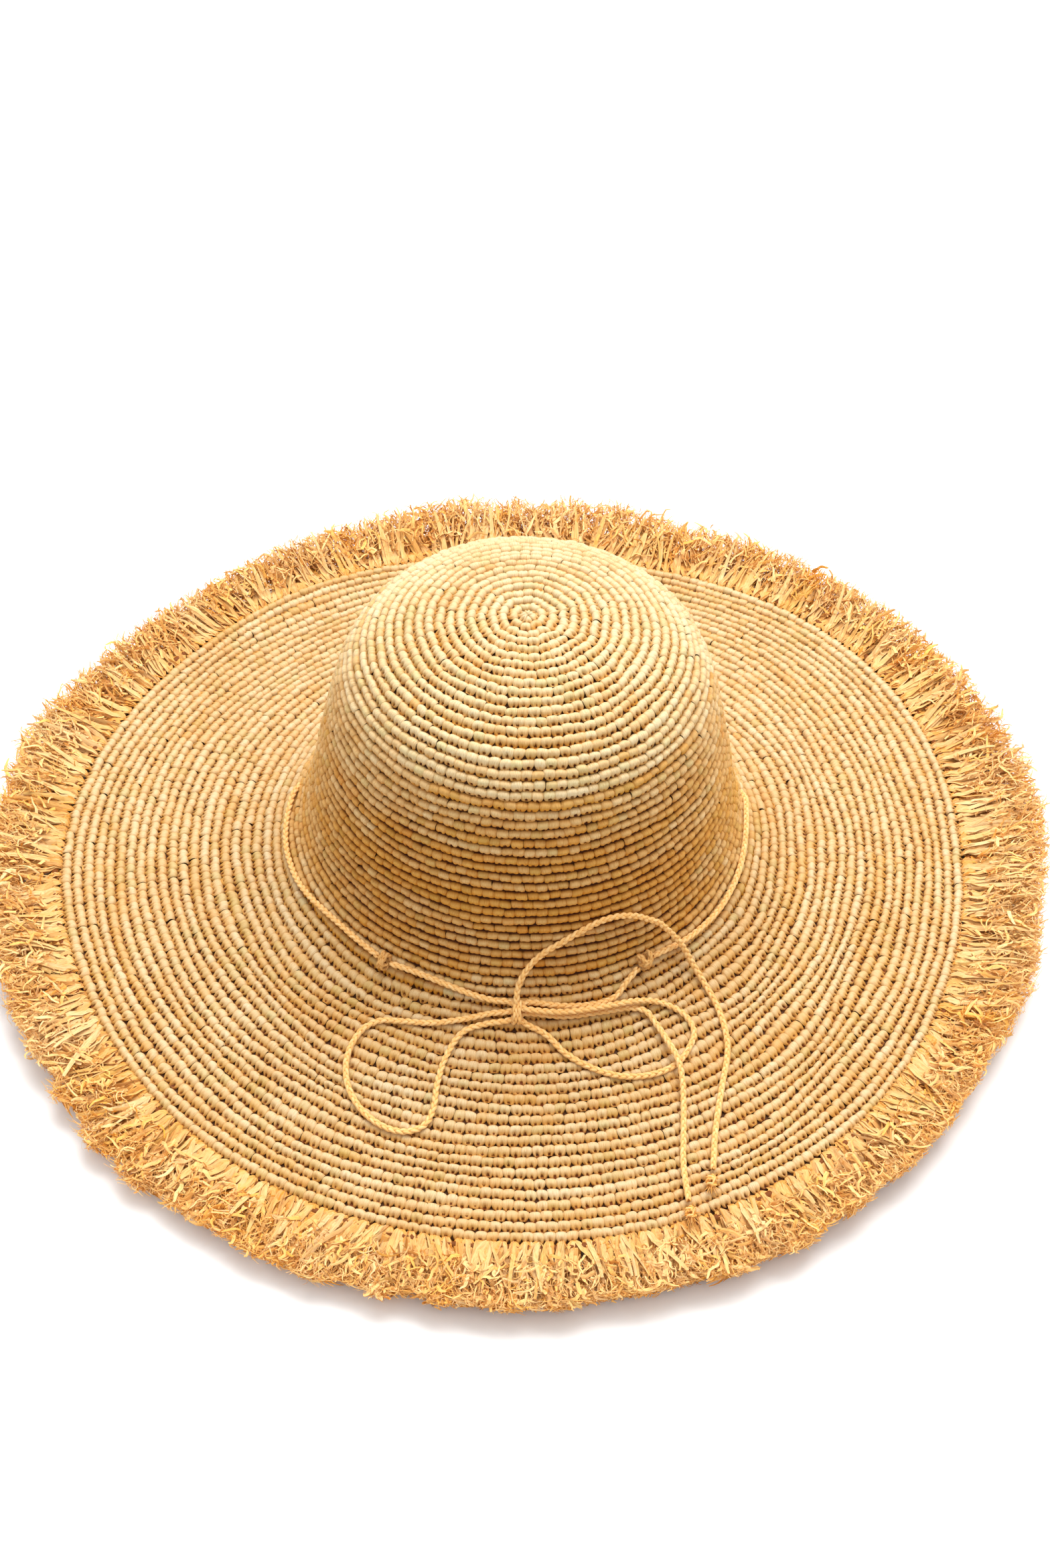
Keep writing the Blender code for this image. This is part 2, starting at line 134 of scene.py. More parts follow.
CURVE = natural_spline(PROFILE) / 1000.0
CROWN_RUN = arc_length(CURVE[:TURN * SPAN + 1])
BRIM_RUN = arc_length(CURVE[TURN * SPAN:])
ROUND = np.concatenate([CROWN_RUN / CROWN_RUN[-1] * CROWN_ROUNDS,
                        CROWN_ROUNDS + BRIM_RUN[1:] / BRIM_RUN[-1] * BRIM_ROUNDS])
LAST = float(CROWN_ROUNDS + BRIM_ROUNDS)


def profile(u):
    """Radius and height of round u (0 = top centre, LAST = edge), straight on past it."""
    over = np.maximum(np.asarray(u, float) - LAST, 0)
    slope = (CURVE[-1] - CURVE[-4]) / (ROUND[-1] - ROUND[-4])
    return (np.interp(u, ROUND, CURVE[:, 0]) + over * slope[0],
            np.interp(u, ROUND, CURVE[:, 1]) + over * slope[1])


def normal_of(u):
    r1, z1 = profile(np.maximum(np.asarray(u) - 0.05, 0))
    r2, z2 = profile(np.asarray(u) + 0.05)
    length = np.hypot(r2 - r1, z2 - z1)
    return -(z2 - z1) / length, (r2 - r1) / length


def waves(a, *terms):
    """Waves round the hat at angle a: (how many, cosine part, sine part in mm) each."""
    return 0.001 * sum(c * np.cos(k * a) + s * np.sin(k * a) for k, c, s in terms)


def wave(u, a):
    """How far round u is lifted at angle a by the brim's soft waves."""
    w = np.maximum((u - 40) / 24, 0) ** 1.7
    return w * waves(a, (2, 0, -1.8), (3, -0.5, -1.3), (4, 0, 1.6), (5, -1.1, -1.3))


def spread(u, a):
    """How far round u stands out or in at angle a: the brim isn't quite round."""
    w = np.maximum((u - CROWN_ROUNDS) / BRIM_ROUNDS, 0)
    return w * waves(a, (1, 0, 2.6), (2, 0.4, 2.4), (3, -2.8, 3.0), (4, -1.4, 0))


def on_hat(u, a, lift=0.0):
    """(distance from the axis, height) of round u at angle a, lifted off it."""
    u = np.asarray(u, float)
    r, z = profile(u)
    nr, nz = normal_of(u)
    return r + nr * lift + spread(u, a), z + nz * lift + wave(u, a)


def in_space(u, a, lift):
    """The same as on_hat, as points."""
    r, z = on_hat(u, a, lift)
    return np.stack([r * np.cos(a), r * np.sin(a), z + 0 * r], -1)


def above(x, y, lift):
    """Point lifted (mm) off the hat's outer surface over plan position x, y (mm)."""
    a = math.atan2(y, x)
    want = math.hypot(x, y) / 1000
    low, high = 0.0, LAST
    for _ in range(40):
        middle = (low + high) / 2
        if profile(middle)[0] + spread(middle, a) < want:
            low = middle
        else:
            high = middle
    r, z = on_hat(low, a, lift / 1000)
    return Vector((r * math.cos(a), r * math.sin(a), float(z)))


def edge_centre(a):
    r, z = on_hat(LAST, a, -SHELL / 2)
    nr, nz = normal_of(LAST)
    reach = EDGE_WIRE + GAP
    return r + nz * reach, z - nr * reach


# ------------------------------------------------------------------ the camera
def turned(place, aim):
    """Turn of a camera or lamp that looks from place to aim."""
    return (aim - place).to_track_quat("-Z", "Y").to_matrix().to_4x4()


def camera():
    """Portrait view from above the front, as the hat is seen."""
    elevation, distance, roll = 0.8122, 0.9459, 0.0312
    middle = Vector((0, 0, 0.06))
    aim = Vector((0.0009, -0.0029, 0.0572))
    place = middle + distance * Vector((0, -math.cos(elevation), math.sin(elevation)))
    data = bpy.data.cameras.new("camera")
    data.lens, data.sensor_width = 49.16, 36.0
    data.clip_start, data.clip_end = 0.02, 50
    ob = bpy.data.objects.new("camera", data)
    ob.matrix_world = (Matrix.Translation(place) @ turned(place, aim)
                       @ Matrix.Rotation(roll, 4, "Z"))
    bpy.context.scene.collection.objects.link(ob)
    bpy.context.scene.camera = ob


camera()


# ------------------------------------------------------------------- materials
def mix(nt, kind, factor, a, b):
    """Mix node of two colours; each input is a socket or a plain value."""
    n = nt.nodes.new("ShaderNodeMix")
    n.data_type = "RGBA"
    n.blend_type = kind
    for value, socket in ((factor, n.inputs[0]), (a, n.inputs[6]), (b, n.inputs[7])):
        if isinstance(value, bpy.types.NodeSocket):
            nt.links.new(value, socket)
        elif isinstance(value, tuple):
            socket.default_value = (*value, 1)
        else:
            socket.default_value = value
    return n.outputs[2]


def remap(nt, value, low, high, to_low=0.0, to_high=1.0):
    n = nt.nodes.new("ShaderNodeMapRange")
    nt.links.new(value, n.inputs[0])
    for socket, number in zip(n.inputs[1:5], (low, high, to_low, to_high)):
        socket.default_value = number
    return n.outputs[0]


def noise(nt, vector, scale, detail, stretch=None):
    if stretch:
        m = nt.nodes.new("ShaderNodeMapping")
        m.inputs["Scale"].default_value = stretch
        nt.links.new(vector, m.inputs["Vector"])
        vector = m.outputs[0]
    n = nt.nodes.new("ShaderNodeTexNoise")
    n.inputs["Scale"].default_value = scale
    n.inputs["Detail"].default_value = detail
    nt.links.new(vector, n.inputs["Vector"])
    return n.outputs["Fac"]


def matt(name, roughness, specular):
    """A material, with its node tree and its shader."""
    m = bpy.data.materials.new(name)
    m.use_nodes = True
    shader = m.node_tree.nodes["Principled BSDF"]
    shader.inputs["Roughness"].default_value = roughness
    shader.inputs["Specular IOR Level"].default_value = specular
    return m, m.node_tree, shader


def mesh_data(nt):
    """What the meshes carry: the "fibre" UV map and the three parts of "stitch"."""
    uv = nt.nodes.new("ShaderNodeUVMap")
    uv.uv_map = "fibre"
    attribute = nt.nodes.new("ShaderNodeAttribute")
    attribute.attribute_name = "stitch"
    parts = nt.nodes.new("ShaderNodeSeparateColor")
    nt.links.new(attribute.outputs["Color"], parts.inputs[0])
    return uv.outputs[0], parts.outputs


def relief(nt, shader, height, strength, distance):
    bump = nt.nodes.new("ShaderNodeBump")
    bump.inputs["Strength"].default_value = strength
    bump.inputs["Distance"].default_value = distance
    nt.links.new(height, bump.inputs["Height"])
    nt.links.new(bump.outputs[0], shader.inputs["Normal"])


def raffia(name, pale, warm, deep, roughness=0.52, fibre=(26, 2.2, 1), bump=0.35,
           dark=(0.08, 0.42)):
    """Split palm leaf: streaked along its fibres, with painted shade, browner and darker,
    down in the creases.

    The mesh carries "stitch" (red: tone of the strand, green: how far out of
    the crease a point is, which sets its painted shade, blue: a number of its own for each
    stitch) and the
    UV map "fibre", whose second axis runs along the fibres.
    """
    m, nt, shader = matt(name, roughness, 0.18)
    uv, (tone, out, own) = mesh_data(nt)
    streak = noise(nt, uv, 1.0, 4, fibre)
    fine = noise(nt, uv, 2.3, 2, fibre)
    place = nt.nodes.new("ShaderNodeTexCoord").outputs["Object"]
    patch = noise(nt, place, 28, 3)
    colour = mix(nt, "MIX", tone, warm, pale)
    olive = mix(nt, "MIX", remap(nt, own, 0.80, 1.0), (1, 1, 1), (0.84, 0.90, 0.74))
    rust = mix(nt, "MIX", remap(nt, own, 0.0, 0.12, 1.0, 0.0), (1, 1, 1),
               (1.0, 0.86, 0.66))
    colour = mix(nt, "MULTIPLY", 0.75, colour, olive)
    colour = mix(nt, "MULTIPLY", 0.60, colour, rust)
    colour = mix(nt, "MULTIPLY", remap(nt, streak, 0.42, 0.68, 0.0, 0.75), colour,
                 (0.72, 0.55, 0.36))
    colour = mix(nt, "SCREEN", remap(nt, fine, 0.56, 0.74, 0.0, 0.20), colour,
                 (0.45, 0.34, 0.15))
    colour = mix(nt, "MULTIPLY", remap(nt, patch, 0.40, 0.66, 0.0, 0.45), colour,
                 (0.92, 0.80, 0.64))
    # painted shade: warmer and darker where green is low, as in the creases
    colour = mix(nt, "MULTIPLY", remap(nt, out, 0.30, 0.95, 0.90, 0.0), colour,
                 (0.94, 0.75, 0.46))
    # painted shade: the deep colour fills the creases, pits and undersides
    colour = mix(nt, "MIX", remap(nt, out, *dark, 0.97, 0.0), colour, deep)
    nt.links.new(colour, shader.inputs["Base Color"])
    relief(nt, shader, mix(nt, "ADD", 1.0, streak, fine), bump, 0.0003)
    return m


# The deep colours below are painted shade for creases and undersides; the crown's warm
# colour is deepened as painted shade for its wall, and the under layer's deep colour is near
# black as painted shade between the stitches.
RAFFIA = raffia("raffia_stitches", (0.71, 0.585, 0.36), (0.60, 0.30, 0.038),
                (0.095, 0.013, 0.001))
BRIM_RAFFIA = raffia("raffia_brim_stitches", (0.70, 0.56, 0.35), (0.61, 0.36, 0.105),
                     (0.125, 0.022, 0.001))
CORE_RAFFIA = raffia("raffia_under_layer", (0.66, 0.50, 0.28), (0.56, 0.34, 0.12),
                     (0.05, 0.012, 0.002))
EDGE_RAFFIA = raffia("raffia_edge_round", (0.78, 0.57, 0.28), (0.66, 0.39, 0.12),
                     (0.17, 0.042, 0.004))
FRINGE_RAFFIA = raffia("raffia_fringe_ends", (0.80, 0.565, 0.28), (0.77, 0.44, 0.13),
                       (0.62, 0.225, 0.010), roughness=0.48, fibre=(5, 0.8, 1),
                       dark=(0.10, 0.80))
FRIZZ_RAFFIA = raffia("raffia_fringe_frizz", (0.96, 0.69, 0.35), (0.93, 0.51, 0.11),
                      (0.84, 0.32, 0.008), roughness=0.48, fibre=(5, 0.8, 1),
                      dark=(0.15, 0.90))
CORD_RAFFIA = raffia("raffia_plait", (0.99, 0.71, 0.35), (0.92, 0.54, 0.17),
                     (0.24, 0.06, 0.002), fibre=(6, 0.7, 1), bump=0.5,
                     dark=(0.02, 0.60))
KNOT_RAFFIA = raffia("raffia_wrap", (0.80, 0.52, 0.22), (0.70, 0.37, 0.10),
                     (0.20, 0.05, 0.003), fibre=(6, 0.7, 1), bump=0.5,
                     dark=(0.02, 0.60))


def cotton(name, light, dark, bump):
    """Soft cotton yarn: slubby along each yarn, with painted shade, darker, between the
    yarns.
    """
    m, nt, shader = matt(name, 0.85, 0.2)
    shader.inputs["Sheen Weight"].default_value = 0.25
    uv, (_, out, _) = mesh_data(nt)
    slub = noise(nt, uv, 1.0, 3, (2.0, 0.5, 1))
    yarn = noise(nt, uv, 1.0, 2, (3.0, 6.0, 1))
    # painted shade: dark in the grooves between the ribs, light on them
    colour = mix(nt, "MIX", remap(nt, out, 0.0, 0.7), dark, light)
    colour = mix(nt, "MULTIPLY", remap(nt, slub, 0.40, 0.70, 0.0, 0.6), colour,
                 (0.86, 0.80, 0.70))
    colour = mix(nt, "MULTIPLY", remap(nt, yarn, 0.45, 0.75, 0.0, 0.5), colour,
                 (0.90, 0.86, 0.78))
    nt.links.new(colour, shader.inputs["Base Color"])
    relief(nt, shader, mix(nt, "ADD", 1.0, slub, yarn), bump, 0.0002)
    return m


COTTON = cotton("cotton_ribbon_weave", (0.86, 0.78, 0.62), (0.52, 0.43, 0.30), 0.4)
THREAD_LOOK = cotton("cotton_sewing_thread", (0.93, 0.86, 0.72), (0.62, 0.52, 0.38), 0.5)


# ------------------------------------------------------------------ mesh making
def mesh_object(name, verts, quads, tris, mat, fibre, stitch, smooth=True):
    """Mesh from arrays; fibre is a UV place and stitch a colour for each point."""
    quads = np.asarray(quads, np.int32).reshape(-1, 4)
    tris = np.asarray(tris, np.int32).reshape(-1, 3)
    corners = np.concatenate([quads.ravel(), tris.ravel()])
    starts = np.concatenate([np.arange(len(quads)) * 4,
                             len(quads) * 4 + np.arange(len(tris)) * 3])
    mesh = bpy.data.meshes.new(name)
    mesh.vertices.add(len(verts))
    mesh.vertices.foreach_set("co", np.asarray(verts, np.float32).ravel())
    mesh.loops.add(len(corners))
    mesh.loops.foreach_set("vertex_index", corners.astype(np.int32))
    mesh.polygons.add(len(starts))
    mesh.polygons.foreach_set("loop_start", starts.astype(np.int32))
    mesh.update(calc_edges=True)
    mesh.validate()
    if smooth:
        mesh.shade_smooth()
    else:
        mesh.shade_flat()
    layer = mesh.uv_layers.new(name="fibre")
    order = np.empty(len(mesh.loops), np.int32)
    mesh.loops.foreach_get("vertex_index", order)
    layer.data.foreach_set("uv", np.asarray(fibre, np.float32)[order].ravel())
    rgba = np.ones((len(verts), 4), np.float32)
    rgba[:, :3] = stitch
    attribute = mesh.color_attributes.new("stitch", "FLOAT_COLOR", "POINT")
    attribute.data.foreach_set("color", rgba.ravel())
    mesh.materials.append(mat)
    ob = bpy.data.objects.new(name, mesh)
    bpy.context.scene.collection.objects.link(ob)
    return ob


def grid_quads(rows, columns, loop_rows=True, loop_columns=True):
    """Quads of a grid of points, row after row, closed on itself where asked."""
    i, j = np.meshgrid(np.arange(rows if loop_rows else rows - 1),
                       np.arange(columns if loop_columns else columns - 1),
                       indexing="ij")
    i2, j2 = (i + 1) % rows, (j + 1) % columns
    return np.stack([i * columns + j, i2 * columns + j, i2 * columns + j2,
                     i * columns + j2], -1).reshape(-1, 4)


def turned_over(quads):
    return quads[:, (0, 3, 2, 1)]


def end_caps(rings, sides):
    """Triangles that close the first and the last ring of a tube."""
    k = np.arange(1, sides - 1)
    last = (rings - 1) * sides
    return np.concatenate([np.stack([0 * k, k + 1, k], -1),
                           np.stack([last + 0 * k, last + k, last + k + 1], -1)])


def settle(ob, slot, *nodes):
    """The piece rides on the hat in place of these nodes; slot is not used."""
    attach(ob, "root")
    if nodes:
        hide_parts(*nodes)
    return ob


# ------------------------------------------------------------------ the cords
def blend(p, q, t, at_p, at_q):
    return p * ((at_q - t) / (at_q - at_p)) + q * ((t - at_p) / (at_q - at_p))


def smooth_route(stations):
    """Centripetal curve over stations (x, y, lift) in mm, followed over the hat."""
    per_span = 12
    pts = [Vector(p) for p in stations]
    ext = [pts[0] * 2 - pts[1]] + pts + [pts[-1] * 2 - pts[-2]]
    dense = []
    for i in range(1, len(ext) - 2):
        p0, p1, p2, p3 = ext[i - 1:i + 3]
        t1 = (p1 - p0).length ** 0.5
        t2 = t1 + (p2 - p1).length ** 0.5
        t3 = t2 + (p3 - p2).length ** 0.5
        for s in range(per_span):
            t = t1 + (t2 - t1) * s / per_span
            a1 = blend(p0, p1, t, 0, t1)
            a2 = blend(p1, p2, t, t1, t2)
            a3 = blend(p2, p3, t, t2, t3)
            b1 = blend(a1, a2, t, 0, t2)
            b2 = blend(a2, a3, t, t1, t3)
            dense.append(blend(b1, b2, t, t1, t2))
    dense.append(pts[-1])
    return np.array([above(*q) for q in dense])


def run_along(line):
    """Distance along a line at each of its points."""
    return np.concatenate([[0], np.cumsum(np.linalg.norm(np.diff(line, axis=0), axis=1))])


def evenly(line, spacing):
    """Points at equal steps, about spacing apart, along a dense line."""
    run = run_along(line)
    s = np.linspace(0, run[-1], max(4, round(run[-1] / spacing) + 1))
    return np.stack([np.interp(s, run, line[:, c]) for c in range(3)], -1), run[-1]


def frames_along(line):
    """Two sides at each point of a line, turned as little as possible."""
    t = np.gradient(line, axis=0)
    t /= np.linalg.norm(t, axis=1)[:, None]
    side = np.cross(t[0], (0, 0, 1))
    if np.linalg.norm(side) < 1e-3:
        side = np.cross(t[0], (1, 0, 0))
    side /= np.linalg.norm(side)
    sides = [side]
    for i in range(1, len(t)):
        side = side - t[i] * (side @ t[i])
        side /= np.linalg.norm(side)
        sides.append(side)
    sides = np.array(sides)
    return sides, np.cross(sides, t)


def plait(line, radius, closed=False):
    """Three flat strands laid over each other in turn along a line."""
    e1, e2 = frames_along(line)
    n = len(line)
    run = run_along(line)
    pitch = PLAIT_PITCH
    if closed:
        total = run[-1] + np.linalg.norm(line[0] - line[-1])
        pitch = total / max(1, round(total / pitch))
    shapes = []
    q = circle(PLAIT_SIDES)
    quads = turned_over(grid_quads(n, PLAIT_SIDES, loop_rows=closed))
    caps = [] if closed else end_caps(n, PLAIT_SIDES)
    for strand in range(3):
        phase = 2 * np.pi * (run / pitch + strand / 3)
        x, y = 0.44 * radius * np.sin(phase), 0.34 * radius * np.sin(2 * phase)
        centre = line + x[:, None] * e1 + y[:, None] * e2
        ahead = np.gradient(centre, axis=0)
        ahead /= np.linalg.norm(ahead, axis=1)[:, None]
        over = e2 - ahead * np.sum(e2 * ahead, axis=1)[:, None]
        over /= np.linalg.norm(over, axis=1)[:, None]
        side = np.cross(ahead, over)
        thin = np.ones(n)
        if not closed:                  # both ends rounded off
            thin = np.sqrt(np.clip(np.minimum(run, run[-1] - run) / radius, 0.04, 1))
        wide, thick = 0.56 * radius * thin, 0.48 * radius * thin
        verts = (centre[:, None, :]
                 + np.cos(q)[None, :, None] * (wide[:, None] * side)[:, None, :]
                 + np.sin(q)[None, :, None] * (thick[:, None] * over)[:, None, :])
        away = np.linalg.norm(verts - line[:, None, :], axis=2) / radius
        # colour: red is tone along each strand; green is painted shade, darker towards the
        # cord's middle where the strands cross and shade each other
        stitch = np.stack([np.broadcast_to(0.5 + 0.22 * np.sin(run * 70 + strand * 2.1)
                                           [:, None], away.shape),
                           np.clip((away - 0.30) / 0.50, 0, 1),
                           0 * away + 0.25 + 0.22 * strand], -1)
        uv = np.stack([np.broadcast_to(q[None, :] * 0.5 + 7 * strand, away.shape),
                       np.broadcast_to(run[:, None] / 0.003, away.shape)], -1)
        shapes.append((verts.reshape(-1, 3), quads, caps, uv.reshape(-1, 2),
                       stitch.reshape(-1, 3)))
    return joined(shapes)


def joined(shapes):
    """Several shapes (points, quads, triangles, UVs, colours) as one."""
    verts, quads, tris, uvs, colours = [], [], [], [], []
    base = 0
    for v, q, t, uv, colour in shapes:
        verts.append(v)
        quads.append(np.asarray(q, np.int64).reshape(-1, 4) + base)
        tris.append(np.asarray(t, np.int64).reshape(-1, 3) + base)
        uvs.append(uv)
        colours.append(colour)
        base += len(v)
    return (np.concatenate(verts), np.concatenate(quads), np.concatenate(tris),
            np.concatenate(uvs), np.concatenate(colours))


def shaped(name, mat, shapes, smooth=True):
    """One mesh object out of several shapes."""
    verts, quads, tris, uv, stitch = joined(shapes)
    return mesh_object(name, verts, quads, tris, mat, uv, stitch, smooth)


def local_axes(x, y, lift):
    """A place over the hat with its axes: round the hat, down the slope, outwards."""
    a = math.atan2(y, x)
    p = above(x, y, lift)
    n = (above(x, y, lift + 1.0) - p).normalized()
    along = Vector((-math.sin(a), math.cos(a), 0))
    down = along.cross(n)
    return np.array(p), np.array(along), np.array(down), np.array(n)


def coil(centre, u, v, w, half_u, half_v, tilt, radius):
    """One turn of cord: an oval in the plane of u and v, drawn out along w."""
    q = np.linspace(0, 2 * np.pi, 72, endpoint=False)
    line = (centre + np.outer(np.cos(q) * half_u, u) + np.outer(np.sin(q) * half_v, v)
            + np.outer(np.sin(q) * tilt, w))
    line = np.concatenate([line, line[:1]])
    line, _ = evenly(line, BAND_STEP)
    return plait(line[:-1], radius, closed=True)


def frayed_end(centre, direction, spread_angle, count, length, radius, seed):
    """Loose fibres that stand out of a cord's end."""
    g = np.random.default_rng(seed)
    t = np.linspace(0, 1, 8)
    d = np.array(direction) / np.linalg.norm(direction)
    side = np.cross(d, (0, 0, 1))
    side /= np.linalg.norm(side)
    up = np.cross(side, d)
    angle = g.uniform(0, 2 * np.pi, count)
    open_ = spread_angle * np.sqrt(g.uniform(0, 1, count))
    reach = length * g.uniform(0.5, 1.0, count)
    heading = (d * np.cos(open_)[:, None]
               + (side * np.cos(angle)[:, None] + up * np.sin(angle)[:, None])
               * np.sin(open_)[:, None])
    curl = g.normal(0, 0.16, (count, 3))
    paths = (np.array(centre) + heading[:, None, :] * (reach[:, None] * t)[..., None]
             + curl[:, None, :] * (reach[:, None] * t ** 2)[..., None])
    return strands(paths, np.full(count, radius * 2), np.full(count, radius * 1.2), g)


def strands(paths, width, thick, g, tone=None, out=None, sides=4, turn=1.6, root=1.0):
    """Flat strips along many paths (count, points, 3), thinner at root and tip."""
    count, steps, _ = paths.shape
    t = np.gradient(paths, axis=1)
    t /= np.linalg.norm(t, axis=2)[..., None] + 1e-12
    s = np.linspace(0, 1, steps)
    roll = (g.normal(0, turn, count)[:, None]
            + g.normal(0, 0.6 * turn, count)[:, None] * s[None, :])
    level = np.cross(t, np.array((0, 0, 1.0)))
    level /= np.linalg.norm(level, axis=2)[..., None] + 1e-9
    upright = np.cross(level, t)
    e1 = level * np.cos(roll)[..., None] + upright * np.sin(roll)[..., None]
    e2 = np.cross(e1, t)
    taper = ((1 - 0.6 * s ** 2) * np.interp(s, (0, 0.3), (root, 1)))[None, :]
    q = circle(sides)
    w = (width[:, None] * taper / 2)[..., None, None] * np.cos(q)[:, None]
    h = (thick[:, None] * taper / 2)[..., None, None] * np.sin(q)[:, None]
    ring = paths[:, :, None] + e1[:, :, None] * w + e2[:, :, None] * h
    base = (np.arange(count) * steps * sides)[:, None, None]
    quads = (grid_quads(steps, sides, loop_rows=False)[None] + base).reshape(-1, 4)
    tris = (end_caps(steps, sides)[:, (0, 2, 1)][None] + base).reshape(-1, 3)
    own = g.uniform(0, 1, count)
    tone = g.uniform(0, 1, count) if tone is None else tone
    out = np.full(count, 0.75) if out is None else out
    stitch = np.stack([tone, out, own], -1)[:, None, None, :]
    stitch = np.broadcast_to(stitch, (count, steps, sides, 3)).reshape(-1, 3)
    run = np.cumsum(np.linalg.norm(np.diff(paths, axis=1, prepend=paths[:, :1]), axis=2),
                    axis=1)
    uv = np.empty((count, steps, sides, 2))
    uv[..., 0] = (0.5 - 0.5 * np.cos(q))[None, None, :] + own[:, None, None] * 37
    uv[..., 1] = run[:, :, None] * 300
    return ring.reshape(-1, 3), quads, tris, uv.reshape(-1, 2), stitch


BAND = [(-57.5, -84.0, 2.2), (-67.2, -75.8, 1.9), (-74.8, -68.2, 1.9),
        (-82.7, -59.6, 1.9), (-89.8, -50.9, 1.9), (-95.8, -41.6, 1.9),
        (-100.2, -31.2, 1.9), (-103.2, -20.5, 1.9), (-104.2, -9.7, 1.9),
        (-103.6, 0.7, 1.9), (-101.9, 9.1, 1.9), (-100.6, 15.5, -0.4),
        (-99.2, 22.5, -4.2), (-97, 31, -5.3), (-88, 51.5, -5.3),
        (-72, 72, -5.3), (-50, 89, -5.3), (-25, 99, -5.3), (0, 102, -5.3),
        (25, 99, -5.3), (50, 89, -5.3), (72, 72, -5.3), (88, 51.5, -5.3),
        (96.6, 31, -5.3), (98.4, 22.5, -4.2), (98.9, 15.5, -0.4),
        (98.9, 8.5, 1.9), (98.6, -1.2, 1.9), (98.2, -9.5, 1.9), (96.8, -21, 1.9),
        (94.7, -31.3, 1.9), (91, -42, 1.9), (85.3, -53.4, 1.9), (77.5, -64, 1.9),
        (68, -73.4, 1.9), (55.3, -82.5, 2.2)]
LEAD_LEFT = [(-53.0, -86.9, 2.6), (-41, -92.4, 2.2), (-30, -97.0, 2.2),
             (-19, -100.9, 2.2), (-10, -103.1, 2.1), (-3.0, -103.7, 2.0)]
LEAD_RIGHT = [(50.0, -86.8, 2.6), (45.2, -92.4, 2.2), (41, -97.8, 2.1),
              (33, -101.6, 1.9), (19, -103.8, 1.8), (3.8, -103.9, 1.8)]
LOOP_LEFT = [(-3.0, -106.8, 1.9), (-10, -107.4, 2.0), (-21, -109.3, 2.1),
             (-35, -110.5, 2.0), (-48, -109.2, 1.9), (-57, -108.7, 1.9),
             (-63.5, -112, 1.9), (-68.2, -119.6, 1.9), (-69.8, -128.5, 1.9),
             (-67.9, -138.8, 1.9), (-61.6, -149, 1.9), (-52.3, -156.2, 1.9),
             (-43.2, -158.5, 1.9), (-36, -155.8, 1.9), (-32.7, -149, 1.9),
             (-31.5, -137.5, 1.9), (-28.3, -125, 1.9), (-21.8, -114.6, 1.9),
             (-12, -111.3, 1.9), (-3.0, -110.0, 1.8)]
LOOP_RIGHT = [(3.8, -105.5, 4.7), (20, -105.7, 4.9), (38, -101.5, 4.9),
              (48, -98.6, 4.6), (56, -97.2, 3.2), (63.5, -97.7, 2.1),
              (71.0, -101.4, 1.9), (74.8, -108.8, 1.9), (72.2, -117.4, 1.9),
              (66.5, -125.2, 1.9), (57, -130.2, 1.9), (45, -131.9, 1.9),
              (33, -129.2, 1.9), (21.5, -123.2, 1.9), (12.6, -115.0, 1.9),
              (3.8, -110.8, 1.8)]
TAIL_LONG = [(3.8, -107.3, 1.8), (20, -107.4, 1.8), (37, -103.8, 1.8),
             (47, -101.2, 1.9), (54, -101.6, 2.3), (58.8, -107.4, 2.8),
             (63.4, -115.8, 4.3), (67, -123.6, 5.4), (69, -131.4, 4.0),
             (69.7, -142, 2.2), (69.5, -156, 1.9), (69.2, -170, 1.9),
             (70.9, -187.6, 2.6)]
TAIL_ARCHED = [(0.2, -100.2, 4.6), (1.6, -97.6, 4.4), (4.8, -95.4, 3.4),
               (10, -93.5, 2.5), (17, -91.5, 2.2), (26, -88.3, 2.2),
               (39.5, -82.6, 2.4), (51, -77.5, 3.2), (58.6, -74.4, 4.6),
               (65.5, -74.2, 5.4), (72.4, -78.4, 4.0), (79.2, -85.6, 2.4),
               (85.2, -96.4, 1.9), (88.8, -114, 1.9), (85.6, -135, 1.9),
               (82.6, -154, 1.9), (81, -172.6, 2.6)]
KEEPER_LEFT, KEEPER_RIGHT = (-55.2, -85.6), (52.2, -84.3)
BOW_KNOT = (0.4, -106.9)
KNOT_ARCHED, KNOT_LONG = (80.2, -177.8), (71.4, -192.6)


